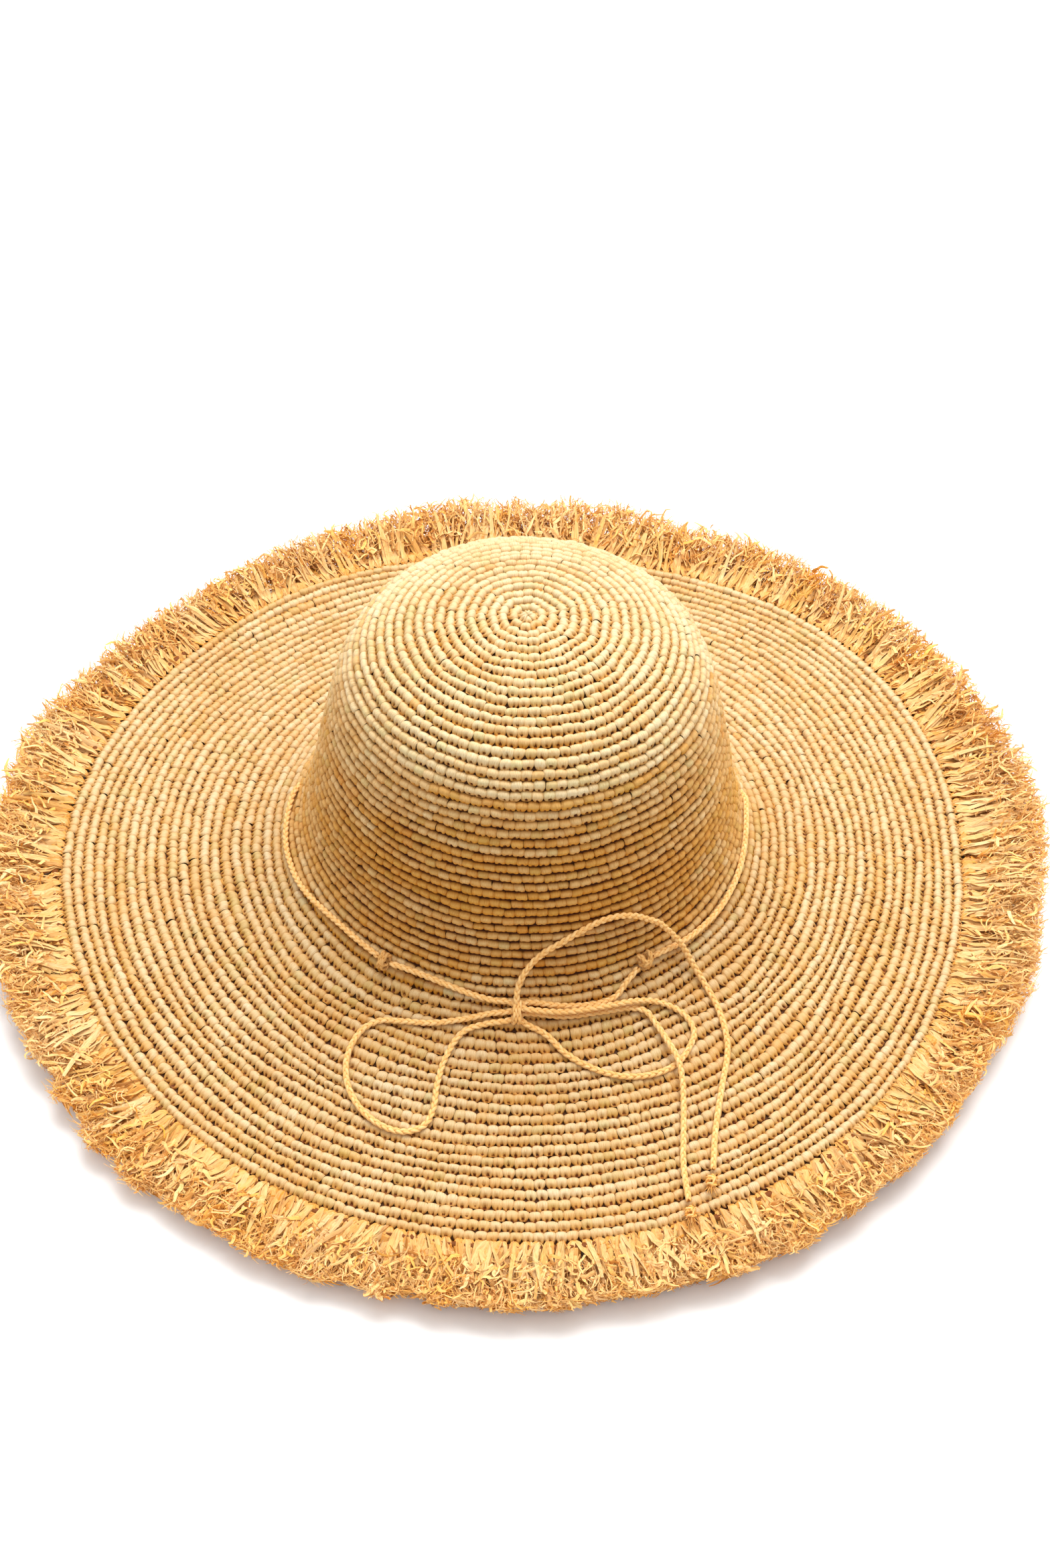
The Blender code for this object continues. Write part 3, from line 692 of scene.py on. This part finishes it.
def knots():
    """Keepers, centre knot and end knots: turns of the same cord pulled tight."""
    made = {}
    p, along, down, n = local_axes(*KEEPER_LEFT, 3.1)
    shapes = [coil(p + along * dx, down, n, along, 0.0034, 0.0019, tilt, 0.00115)
              for dx, tilt in ((-0.0011, 0.0004), (0.0011, -0.0005))]
    shapes.append(coil(p, along + 0.4 * down, n, down, 0.0020, 0.0021, 0.0006, 0.0009))
    made["keeper_left"] = shaped("left_keeper", KNOT_RAFFIA, shapes)
    p, along, down, n = local_axes(*KEEPER_RIGHT, 3.1)
    shapes = [coil(p + along * dx, down + along * lean, n, along, 0.0031, 0.0020, 0.0004,
                   0.0012) for dx, lean in ((-0.0014, 0.25), (0.0013, -0.35))]
    shapes.append(coil(p - down * 0.0004, along - 0.5 * down, n, down, 0.0023, 0.0022,
                       0.0007, 0.0011))
    made["keeper_right"] = shaped("right_keeper", KNOT_RAFFIA, shapes)
    p, along, down, n = local_axes(*BOW_KNOT, 3.1)
    shapes = [coil(p + along * dx, down, n, along, 0.0046, 0.0024, tilt, 0.00115)
              for dx, tilt in ((-0.0011, 0.0003), (0.0012, -0.0004))]
    made["bow_knot"] = shaped("centre_knot", CORD_RAFFIA, shapes)
    for name, node, (x, y), last, seed in (
            ("arched_tail_knot", "tail_knot_arched", KNOT_ARCHED, TAIL_ARCHED[-2], 3),
            ("long_tail_knot", "tail_knot_long", KNOT_LONG, TAIL_LONG[-2], 5)):
        p, along, down, n = local_axes(x, y, 2.7)
        heading = p - np.array(above(*last))
        heading /= np.linalg.norm(heading)
        across = np.cross(n, heading)
        shapes = [coil(p + heading * d, across, n, heading, 0.0016, 0.0013, tilt, 0.0009)
                  for d, tilt in ((-0.0017, 0.0006), (0.0002, -0.0008), (0.0016, 0.0005))]
        shapes.append(coil(p, heading, n, across, 0.0024, 0.0017, 0.0008, 0.0008))
        shapes.append(frayed_end(p + heading * 0.0012, heading - 0.05 * n, 0.8, 30, 0.0058,
                                 0.00020, seed))
        shapes.append(frayed_end(p, n, 1.5, 34, 0.0040, 0.00016, seed + 1))
        made[node] = shaped(name, FRIZZ_RAFFIA, shapes)
    for node, ob in made.items():
        settle(ob, "raffia_fringe" if "tail" in node else "raffia_knot", node)
    return made


def cords(knot_of):
    """Two free cords tied in a bow, and the band that the hat holds."""
    first = (LEAD_LEFT + [(0.4, -104.6, 3.2)] + LOOP_RIGHT
             + [(0.6, -108.4, 3.4), (0.2, -104.0, 4.4)] + TAIL_ARCHED)
    second = (LEAD_RIGHT + [(0.4, -105.4, 3.0)] + LOOP_LEFT
              + [(0.4, -108.6, 2.6)] + TAIL_LONG)
    for name, stations, nodes, knot in (
            ("bow_cord_left", first, ("bow_lead_left", "bow_loop_right",
                                      "bow_tail_arched"), "tail_knot_arched"),
            ("bow_cord_right", second, ("bow_lead_right", "bow_loop_left",
                                        "bow_tail_long"), "tail_knot_long")):
        line, length = evenly(smooth_route(stations), PLAIT_STEP)
        ob = settle(shaped(name, CORD_RAFFIA, [plait(line, CORD_D / 2)]), "raffia_cord",
                    *nodes)
        print(name, "length %.0f mm" % (length * 1000))
    line, _ = evenly(smooth_route(BAND), BAND_STEP)
    settle(shaped("band", CORD_RAFFIA, [plait(line, CORD_D / 2)]), "raffia_cord",
           "band_cord")


cords(knots())


# --------------------------------------------------------------- the crochet
def smooth_noise(a, seed, terms, first):
    """Gentle random waves round the hat, about -1 to 1."""
    g = np.random.default_rng(seed)
    total = 0
    for k in range(first, first + terms):
        total = total + g.normal() * np.cos(k * a + g.uniform(0, 6.3)) / terms ** 0.5
    return total


def wobble(u, a):
    """How far the rounds run out of true, in rounds."""
    more = np.interp(u, (CROWN_ROUNDS, CROWN_ROUNDS + 4, LAST - 3, LAST), (1, 2.4, 2.2, 0.8))
    return more * (0.10 * smooth_noise(a, 11, 6, 2) * np.sin(u * 0.31)
                   + 0.07 * smooth_noise(a, 12, 9, 5) * np.cos(u * 0.83 + 1))


def hooded(u):
    """1 where the legs of the stitches show, as on the brim, less on the crown's wall."""
    return np.interp(u, (0, 14, 31, 39, 43), (1, 1, 0.25, 0.25, 1))


def tone_and_painted_light(u):
    """Mean tone of a round, with painted light and shade: the crown's top is painted paler
    as if lit, its wall warmer and darker as painted shade.
    """
    return np.interp(u, (0, 10, 16, 26, 38, 45, LAST),
                     (0.84, 0.82, 0.66, 0.24, 0.14, 0.46, 0.50))


def painted_crease_light(u):
    """How much paler a round's creases are painted: painted light on the top, painted shade
    on the crown's wall.
    """
    return np.interp(u, (0, 12, 17, 26, 38, 43), (0.06, 0.16, 0.16, -0.15, -0.15, 0))


def stitches(name, rounds, pitch, mat, slot):
    """The outer side of some rounds, pitch apart: one closed bead for each stitch."""
    where, angle, half, tone = [], [], [], []
    for middle in rounds:
        n = stitches_in(middle)
        where.append(np.full(n, middle))
        angle.append((np.arange(n) + rng.uniform()) * 2 * np.pi / n)
        half.append(np.full(n, np.pi / n))
        strand = np.cumsum(rng.uniform(0, 1, n) < 0.09)
        shade = rng.normal(0, 1, strand[-1] + 1)[strand]
        # tone: the round's painted light or shade, plus random strands and stitches
        tone.append(tone_and_painted_light(middle) + 0.14 * shade + 0.09 * rng.normal(0, 1, n))
    u0, a0 = np.concatenate(where), np.concatenate(angle)
    half, tone = np.concatenate(half), np.clip(np.concatenate(tone), 0, 1)
    count = len(u0)
    a0 = a0 + half * rng.normal(0, 0.05, count)
    u0 = u0 + rng.normal(0, 0.034, count)
    gx, gy = (g.ravel()[None, :] for g in np.meshgrid(BEAD_X, BEAD_Y, indexing="ij"))

    def own(low, high):
        return rng.uniform(low, high, count)[:, None]

    x = gx + own(-0.20, 0.20) * (1 - gx ** 2)       # the pit is a little off the middle
    legs = hooded(u0)[:, None]
    peak = own(-0.42, -0.20)
    before = np.clip((peak - gy) / (1 + peak), 0, 1)
    after = np.clip((gy - peak) / (1 - peak), 0, 1)
    back = (1 - before ** 2.2) ** 0.5
    front = (legs * (1 - own(0.46, 0.66) * after ** 1.5)
             + (1 - legs) * (1 - after ** own(2.0, 2.8)) ** 0.55)
    low = np.clip((gy - 0.15) / 0.85, 0, 1)
    crease = (own(0.30, 0.60) + 0.20 * legs) * (1 - own(0.6, 1.0) * legs * low)
    across = crease + (1 - crease) * (1 - np.abs(gx) ** own(2.0, 3.2)) ** 0.5
    pit_y = own(0.46, 0.72)
    pit_wide = own(0.15, 0.28) * (1 + 0.9 * np.clip(gy - pit_y, -0.6, 0.6))
    pit = np.exp(-(gx / pit_wide) ** 2 - ((gy - pit_y) / own(0.16, 0.30)) ** 2)
    height = (across * np.where(gy < peak, back, front) * own(0.86, 1.10)
              - pit * own(0.3, 2.3) * (0.06 + 0.94 * legs))
    # painted shade in the pits, over their real depth
    pit_shade = pit * own(0.1, 1.3) * legs
    height = np.maximum(height, -0.30)
    x = x * (1 - own(0.20, 0.58) * legs * low)
    arch = own(0.12, 0.42) * (0.4 + 0.6 * legs)     # the hood's rounded corners
    y = np.where(gy < 0, gy * (1 - arch * np.abs(gx) ** 3), gy)
    lift = BEAD_LOW + BEAD_RISE * height + own(-0.00012, 0.00018)
    slant = own(-0.16, 0.16)
    reach = np.where(y < 0, 0.42 + 0.17 * legs, 0.37 + 0.15 * legs) * own(0.94, 1.06)
    reach = reach * pitch
    a = a0[:, None] + half[:, None] * (x * own(1.03, 1.11) + slant * y)
    u = u0[:, None] + y * reach + own(-0.05, 0.05) * x
    u = np.maximum(u + wobble(u, a), 0.02)
    under = in_space(u0[:, None], a0[:, None], BEAD_LOW - 0.0003)
    verts = np.concatenate([in_space(u, a, lift), under], axis=1).reshape(-1, 3)
    rows, m = len(BEAD_X), len(BEAD_Y)
    per = rows * m + 1
    k, q = np.arange(m - 1), np.arange(rows - 1)
    rim = np.concatenate([k, q * m + m - 1, (rows - 1) * m + k[::-1] + 1,
                          (q[::-1] + 1) * m])
    foot = np.stack([rim, np.full(len(rim), rows * m), np.roll(rim, -1)], -1)[:, ::-1]
    base = (np.arange(count) * per)[:, None, None]
    quads = (turned_over(grid_quads(rows, m, False, False))[None] + base).reshape(-1, 4)
    tris = (foot[None] + base).reshape(-1, 3)
    # painted shade: each stitch darker in its pits and warmer and darker towards its lower
    # half, its creases painted lighter or darker by round
    down = np.clip(gy + 0.25, 0, 1.25)
    out = 0.06 + 0.98 * height - pit_shade - 0.16 * legs * down + painted_crease_light(u0)[:, None]
    out = np.clip(out, 0, 1)
    tone_with_painted_shade = np.clip(tone[:, None] + (0.24 - 0.60 * down) * (0.3 + 0.7 * legs), 0, 1)
    colour = np.stack([np.broadcast_to(tone_with_painted_shade, out.shape), out,
                       np.broadcast_to(own(0, 1), out.shape)], -1)
    # the foot point under each stitch takes the full painted shade colour
    colour = np.concatenate([colour, colour[:, :1] * 0], axis=1).reshape(-1, 3)
    mark = rng.uniform(0, 60, (count, 2))
    uv = np.empty((count, per, 2))
    uv[:, :-1, 0] = x * 0.5 + 0.35 * slant * y + mark[:, :1]
    uv[:, :-1, 1] = y * 0.5 + mark[:, 1:]
    uv[:, -1] = mark
    settle(mesh_object(name, verts, quads, tris, mat, uv.reshape(-1, 2), colour), slot)


def stitches_in(middle):
    """Number of stitches in the round whose middle is here."""
    return max(6, int(round(2 * np.pi * float(profile(middle)[0]) / STITCH)))


def chunks(middles):
    """Runs of rounds with no more than MOST_STITCHES stitches in each."""
    run, total, out = [], 0, []
    for middle in middles:
        if run and total + stitches_in(middle) > MOST_STITCHES:
            out.append(run)
            run, total = [], 0
        run.append(middle)
        total += stitches_in(middle)
    return out + [run]


def crochet():
    """Crown and brim, round by round."""
    for number, run in enumerate(chunks(np.arange(CROWN_ROUNDS) + 0.5), 1):
        stitches("crown_stitches_%d" % number, run, 1.0, RAFFIA, "raffia_crochet")
    pitch = BRIM_ROUNDS / BRIM_LAID
    laid = CROWN_ROUNDS + (np.arange(BRIM_LAID) + 0.5) * pitch
    for number, run in enumerate(chunks(laid), 1):
        stitches("brim_stitches_%d" % number, run, pitch, BRIM_RAFFIA, "raffia_brim")


crochet()


def under_layer(name, u_first, u_last, count, slot, node):
    """The layer that closes the gaps: painted near black outside, as shade seen between the
    stitches, knobbly and pale on the inside, with painted shade between its bulges.
    """
    outer = np.linspace(u_first, u_last, int((u_last - u_first) / 0.8) + 1)
    inner = np.linspace(u_last, u_first, int((u_last - u_first) * 4) + 1)
    a = circle(count)
    u = np.concatenate([outer, inner])[:, None]
    inside = np.concatenate([np.zeros(len(outer)), np.ones(len(inner))])[:, None]
    n = np.maximum(6, np.round(2 * np.pi * profile(np.floor(u) + 0.5)[0] / STITCH))
    bead = (np.abs(np.sin(np.pi * u)) ** 0.6
            * np.abs(np.cos(n * a[None, :] / 2 + np.floor(u) * 1.7)) ** 0.5)
    lift = np.where(inside > 0, CORE_INNER - CORE_BULGE * bead, CORE_LIFT)
    verts = in_space(u, a[None, :], lift).reshape(-1, 3)
    rows = len(u)
    to_centre = u_first < 1             # the crown is closed at its centre
    quads, tris = grid_quads(rows, count, loop_rows=not to_centre), []
    # painted shade: the outside takes the full shade colour, the inside darkens between its
    # bulges
    tone = np.broadcast_to(0.5 + 0.4 * inside * (bead - 0.4), bead.shape)
    out = np.broadcast_to(inside * (0.22 + 0.78 * bead), bead.shape)
    stitch = np.stack([tone, out, 0.5 + 0.3 * np.sin(a[None, :] * 23 + u * 2.1)], -1)
    uv = np.stack(np.broadcast_arrays(a[None, :] * n / (2 * np.pi), u), -1).reshape(-1, 2)
    stitch = stitch.reshape(-1, 3)
    if to_centre:
        top, low = len(verts), len(verts) + 1
        z = float(profile(0)[1])
        verts = np.concatenate([verts, [[0, 0, z + CORE_LIFT],
                                        [0, 0, z + CORE_INNER - 0.75 * CORE_BULGE]]])
        uv = np.concatenate([uv, uv[:2]])
        stitch = np.concatenate([stitch, stitch[:2]])
        j = np.arange(count)
        k = (j + 1) % count
        last = (rows - 1) * count
        tris = np.concatenate([np.stack([0 * j + top, j, k], -1),
                               np.stack([0 * j + low, last + k, last + j], -1)])
    settle(mesh_object(name, verts, quads, tris, CORE_RAFFIA, uv, stitch), slot, node)


under_layer("crown_under_layer", 0.3, CROWN_ROUNDS, 400, "raffia_crochet", "crown")
under_layer("brim_under_layer", CROWN_ROUNDS, LAST, 800, "raffia_brim", "brim")


def edge_round():
    """The strand that the last round is worked over, bound by its stitches."""
    n = stitches_in(LAST)
    steps, sides = n * 6, 12
    a, q = circle(steps), circle(sides)
    r, z = edge_centre(a)
    x = a[:, None] * n / (2 * np.pi) + 0.22 * np.sin(q)[None, :]
    bead = np.abs(np.cos(np.pi * x)) ** 0.45
    own = np.floor(x + 0.5).astype(int) % n         # the number of the stitch
    size = rng.uniform(0.92, 1.10, n)[own]
    radius = EDGE_WIRE * (0.66 + 0.30 * bead) * size
    rr = r[:, None] + radius * np.cos(q)[None, :]
    zz = z[:, None] + radius * np.sin(q)[None, :]
    verts = np.stack([rr * np.cos(a)[:, None], rr * np.sin(a)[:, None], zz], -1)
    quads = grid_quads(steps, sides)[:, ::-1]
    tone = rng.uniform(0, 0.8, n)[own]
    shade = np.clip(0.1 + 0.6 * bead, 0, 1) * (0.5 - 0.5 * np.sin(q))[None, :]
    stitch = np.stack([tone, shade, rng.uniform(0, 1, n)[own]], -1).reshape(-1, 3)
    uv = np.stack([x, np.broadcast_to(q[None, :] * 0.8, x.shape)], -1).reshape(-1, 2)
    ob = mesh_object("edge_round", verts.reshape(-1, 3), quads, [], EDGE_RAFFIA, uv,
                     stitch)
    settle(ob, "raffia_edge", "brim_edge_round")


edge_round()


# ------------------------------------------------------------------ the fringe
def fringe_reach(a):
    """How far the fringe stands out at angle a, with the lumps of its outline."""
    full = FRINGE_LENGTH - TUCKED + waves(a, (1, 0.9, -1.1), (2, 2.2, 2.0),
                                          (3, 1.3, -1.3), (4, 3.6, 0), (5, 0, 2.0))
    return full * (0.95 + 0.035 * smooth_noise(a, 21, 10, 9)
                   + 0.050 * smooth_noise(a, 23, 26, 40))


def fringe_place(a, t, share):
    """Height at t of the way out: share 0 is the fringe's underside, 1 its top."""
    z = edge_centre(a)[1]
    puff = np.interp(t, (0, 0.25, 0.6, 1.0), (0.0014, 0.0052, 0.0078, 0.0080))
    puff = puff + 0.0034 * (1 + np.sin(a)) * np.clip(t, 0, 1)   # it stands up at the back
    top = puff + z * (1 - 0.28 * np.clip(t, 0, 1.1) ** 1.5)
    low = np.maximum((z - 0.0014) * (1 - 1.5 * t), 0.0006)
    return low + (top - low) * share


def in_round(r, angle, z):
    return np.stack([r * np.cos(angle), r * np.sin(angle), z], -1)


def ribbon_paths(count, g, levels):
    """Straight split ribbons that leave the last round side by side, in these levels."""
    tuft = g.integers(0, TUFTS, count)
    a = ((tuft + 0.5) * 2 * np.pi / TUFTS + g.normal(0, 0.0005, count) / 0.21)[:, None]
    full = fringe_reach(a)
    share = levels[0] + (levels[1] - levels[0]) * g.uniform(0, 1, (count, 1))
    reach = full * g.uniform(0.40, 0.70, (count, 1)) + 0.26 * full * share
    t = np.concatenate([(0, 0.05, 0.12), np.linspace(0.24, 1, 6)])[None, :]
    swing = g.normal(0, 0.20, (count, 1)) + 0.22 * smooth_noise(a, 22, 10, 14)
    curl = g.normal(0, 0.12, (count, 1)) * t ** 2.2
    root, height = on_hat(LAST, a, 0)
    r = root - 0.0012 + (reach + 0.0034) * t * (1 - np.abs(swing) * 0.1)
    fan = g.normal(0, 0.0012, (count, 1)) * np.clip(t / 0.3, 0, 1)
    angle = a + (fan + reach * t * swing + 0.0026 * g.normal(0, 1, (count, 1)) * t ** 2) / r
    out = reach * t / full
    z = fringe_place(a, out, share * (1 - (1 - t) ** 3) + 0.4 * (1 - t) ** 3 + curl)
    # over the edge round from under the last stitches
    over = np.interp(r - root, (-0.0012, 0.0006, 0.0024, 0.0046, 0.0075),
                     (-0.0014, 0.0002, 0.0009, 0.0002, -0.02))
    z = np.maximum(z, height + over - 0.0008 * (1 - share))
    z = np.where(r < root + 0.0003, height + over, z)
    return in_round(r, angle, np.maximum(z, 0.0005)), tuft, share[:, 0]


def fibre_paths(count, g, start, length, steps, aim, lift, curl):
    """Fine fibres that split off the ribbons and curl away in all directions."""
    tuft = g.integers(0, TUFTS, count)
    a = ((tuft + 0.5) * 2 * np.pi / TUFTS + g.normal(0, 0.0022, count) / 0.23)[:, None]
    full = fringe_reach(a)
    out = start[0] + (start[1] - start[0]) * g.uniform(0, 1, (count, 1)) ** 0.75
    share = g.uniform(0, 1, (count, 1)) ** 0.5
    r = edge_centre(a)[0] + full * out
    first = in_round(r, a, fringe_place(a, out, share))[:, 0]
    s = np.linspace(0, 1, steps)[None, :]
    bend = g.normal(0, 1, (count, 4))[:, :, None] * curl
    heading = (a + g.normal(0, aim, (count, 1)) + bend[:, 0] * s
               + 0.5 * bend[:, 1] * np.sin(2 * np.pi * s * g.uniform(0.6, 1.6, (count, 1))))
    rise = (g.normal(lift[0], lift[1], (count, 1)) + 0.10 * np.sin(a) + 0.7 * bend[:, 2] * s
            + 0.4 * bend[:, 3] * np.sin(2 * np.pi * s))
    step = g.uniform(*length, (count, 1)) / (steps - 1)
    move = in_round(np.cos(rise), heading, np.sin(rise)) * step[..., None]
    move[:, 0] = 0
    paths = first[:, None, :] + np.cumsum(move, axis=1)
    # kept inside the fringe's lumpy outline, over the ground, with a few strays
    r = np.hypot(paths[..., 0], paths[..., 1])
    angle = np.arctan2(paths[..., 1], paths[..., 0])
    edge = edge_centre(a)[0]
    top = fringe_place(a, np.clip((r - edge) / full, 0, 1), 1.0)
    top = top + g.uniform(0, 0.0022, (count, 1))
    z = np.where(paths[..., 2] > top, top + (paths[..., 2] - top) * 0.3, paths[..., 2])
    z = np.maximum(z, 0.0004 + 0.0006 * g.uniform(0, 1, (count, 1)))
    most = edge + (full * (0.62 + 0.38 * np.clip(z / top, 0, 1) ** 0.8)
                   * g.uniform(0.88, 1.03, (count, 1)))
    r = np.where(r > most, most + (r - most) * 0.25, r)
    r = np.maximum(r, edge + 0.0016)
    return in_round(r, angle, z), tuft, share[:, 0]


def fringe():
    """Split ribbons at the root, then shreds, a frizz of curls and bristling tips."""
    g = np.random.default_rng(31)
    nodes = sorted(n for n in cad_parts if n.startswith("fringe_"))
    tuft_tone = np.clip(g.normal(0.55, 0.22, TUFTS), 0.05, 0.95)

    def piece(name, made, widths, flatness, sides, turn, mat, root=1.0, replaced=()):
        paths, tuft, share = made
        width = g.uniform(*widths, len(tuft))
        tone = np.clip(tuft_tone[tuft] + g.normal(0, 0.16, len(tuft)), 0, 1)
        # painted shade: strips lower in the fringe get a darker, deeper colour
        shape = strands(paths, width, width * flatness, g, tone, 0.30 + 0.68 * share,
                        sides, turn, root)
        settle(shaped(name, mat, [shape], smooth=False), "raffia_fringe", *replaced)

    for number, (levels, widths, turn) in enumerate((
            ((0.10, 0.55), (0.0022, 0.0042), 0.25), ((0.40, 1.0), (0.0012, 0.0034), 0.50))):
        piece("fringe_ribbons_%d" % (number + 1), ribbon_paths(RIBBONS, g, levels), widths,
              0.10, 4, turn, FRINGE_RAFFIA, 0.22, nodes[number * 8:number * 8 + 8])
    for kind, pieces, shape, look in (
            ("shreds", 3, (SHREDS, g, (0.10, 0.88), (0.006, 0.014), 7, 0.55, (0.10, 0.32),
                           0.7), ((0.0006, 0.0019), 0.15, 4, 0.9)),
            ("frizz", 3, (CURLS, g, (0.12, 0.94), (0.005, 0.012), 8, 0.75, (0.16, 0.42),
                          1.0), ((0.0003, 0.0009), 0.30, 3, 1.2)),
            ("bristles", 2, (BRISTLES, g, (0.50, 1.0), (0.004, 0.010), 5, 0.50,
                             (0.05, 0.50), 0.5), ((0.0003, 0.0007), 0.4, 3, 1.5))):
        for number in range(pieces):
            piece("fringe_%s_%d" % (kind, number + 1), fibre_paths(*shape), *look,
                  FRIZZ_RAFFIA)


fringe()


# -------------------------------------------------------------- the sweatband
def sweatband():
    """Ribbed cotton ribbon sewn into the crown's mouth by a row of running stitches."""
    ribs, rows = 620, 13
    steps = ribs * 4
    a = circle(steps)[None, :]
    v = np.linspace(0, 1, rows)[:, None]
    u = SWEAT_TOP + (SWEAT_LOW - SWEAT_TOP) * v
    rib = np.abs(np.cos(a * ribs / 2)) ** 0.7
    loose = 0.00028 * smooth_noise(a, 41, 9, 7) * np.abs(v - SEAM_SHARE) ** 0.8
    hem = 0.00015 * np.exp(-(np.minimum(v, 1 - v) / 0.05) ** 2)
    lift = -SHELL - SWEAT_GAP + np.minimum(loose, 0.0001)
    near, far = in_space(u, a, lift), in_space(u, a, lift - RIBBON - RIB * rib - hem)
    verts = np.concatenate([near, far[::-1]]).reshape(-1, 3)
    both = np.concatenate([v, v[::-1]]) + 0 * a
    uv = np.stack([np.broadcast_to(a * ribs / (2 * np.pi), both.shape), both * 28], -1)
    # painted shade: the side that shows is darker between its ribs
    out = np.concatenate([0 * rib + 0 * v, rib + 0 * v])
    stitch = np.stack([0.5 + 0 * out, out, 0.5 + 0 * out], -1).reshape(-1, 3)
    band = mesh_object("sweatband_ribbon", verts, grid_quads(2 * rows, steps), [], COTTON,
                       uv.reshape(-1, 2), stitch)
    settle(band, "cotton_ribbon", "sweatband")

    count, long_, rings, sides = 150, 0.62, 7, 6
    at = 2 * np.pi * (np.arange(count)[:, None, None]
                      + long_ * np.linspace(0, 1, rings)[None, :, None]) / count
    swell = np.sin(np.pi * np.linspace(0.06, 0.94, rings))[None, :, None] ** 0.5
    q = circle(sides)[None, None, :]
    lift = -SHELL - SWEAT_GAP - 0.0001 - RIBBON - swell * (0.00022 + THREAD * np.sin(q))
    across = THREAD * swell * np.cos(q) / ROUND_HEIGHT
    verts = in_space(SEAM_ROUND + across + 0 * at, at + 0 * q, lift).reshape(-1, 3)
    base = (np.arange(count) * rings * sides)[:, None, None]
    quads = turned_over(grid_quads(rings, sides, loop_rows=False))[None] + base
    caps = end_caps(rings, sides)[None] + base
    uv = np.stack([np.broadcast_to(q, lift.shape) + 0 * at, at * count + 0 * q], -1)
    seam = mesh_object("sweatband_running_stitch", verts, quads, caps, THREAD_LOOK,
                       uv.reshape(-1, 2), np.full((len(verts), 3), 0.6))
    settle(seam, "sewing_thread", "sweatband_stitching")


sweatband()


# ----------------------------------------------------------- stage and lights
def stage():
    """Plain pale floor."""
    white, _, shader = matt("floor_white", 0.9, 0.1)
    shader.inputs["Base Color"].default_value = (0.93, 0.93, 0.93, 1)
    mesh = bpy.data.meshes.new("floor")
    half = 6.0
    mesh.from_pydata([(-half, -half, 0), (half, -half, 0), (half, half, 0),
                      (-half, half, 0)], [], [(0, 1, 2, 3)])
    mesh.materials.append(white)
    ob = bpy.data.objects.new("floor", mesh)
    bpy.context.scene.collection.objects.link(ob)


def softbox():
    """Wide lamp over the hat, a little behind it."""
    place, aim = Vector((0.15, 0.55, 1.5)), Vector((0, 0, 0.05))
    data = bpy.data.lights.new("softbox_top", "AREA")
    data.shape = "RECTANGLE"
    data.size, data.size_y = 1.4, 1.0
    data.energy = 34
    ob = bpy.data.objects.new("softbox_top", data)
    ob.matrix_world = Matrix.Translation(place) @ turned(place, aim)
    bpy.context.scene.collection.objects.link(ob)


def sky():
    """Soft white light from all round, much brighter overhead."""
    world = bpy.data.worlds.new("studio")
    world.use_nodes = True
    nt = world.node_tree
    split = nt.nodes.new("ShaderNodeSeparateXYZ")
    nt.links.new(nt.nodes.new("ShaderNodeTexCoord").outputs["Generated"], split.inputs[0])
    nt.links.new(remap(nt, split.outputs[2], 0.05, 0.95, 0.30, 1.30),
                 nt.nodes["Background"].inputs[1])
    nt.nodes["Background"].inputs[0].default_value = (1, 1, 1, 1)
    bpy.context.scene.world = world


def lights():
    sky()
    softbox()
    bpy.context.scene.view_settings.view_transform = "Standard"
    bpy.context.scene.view_settings.look = "None"


stage()
lights()
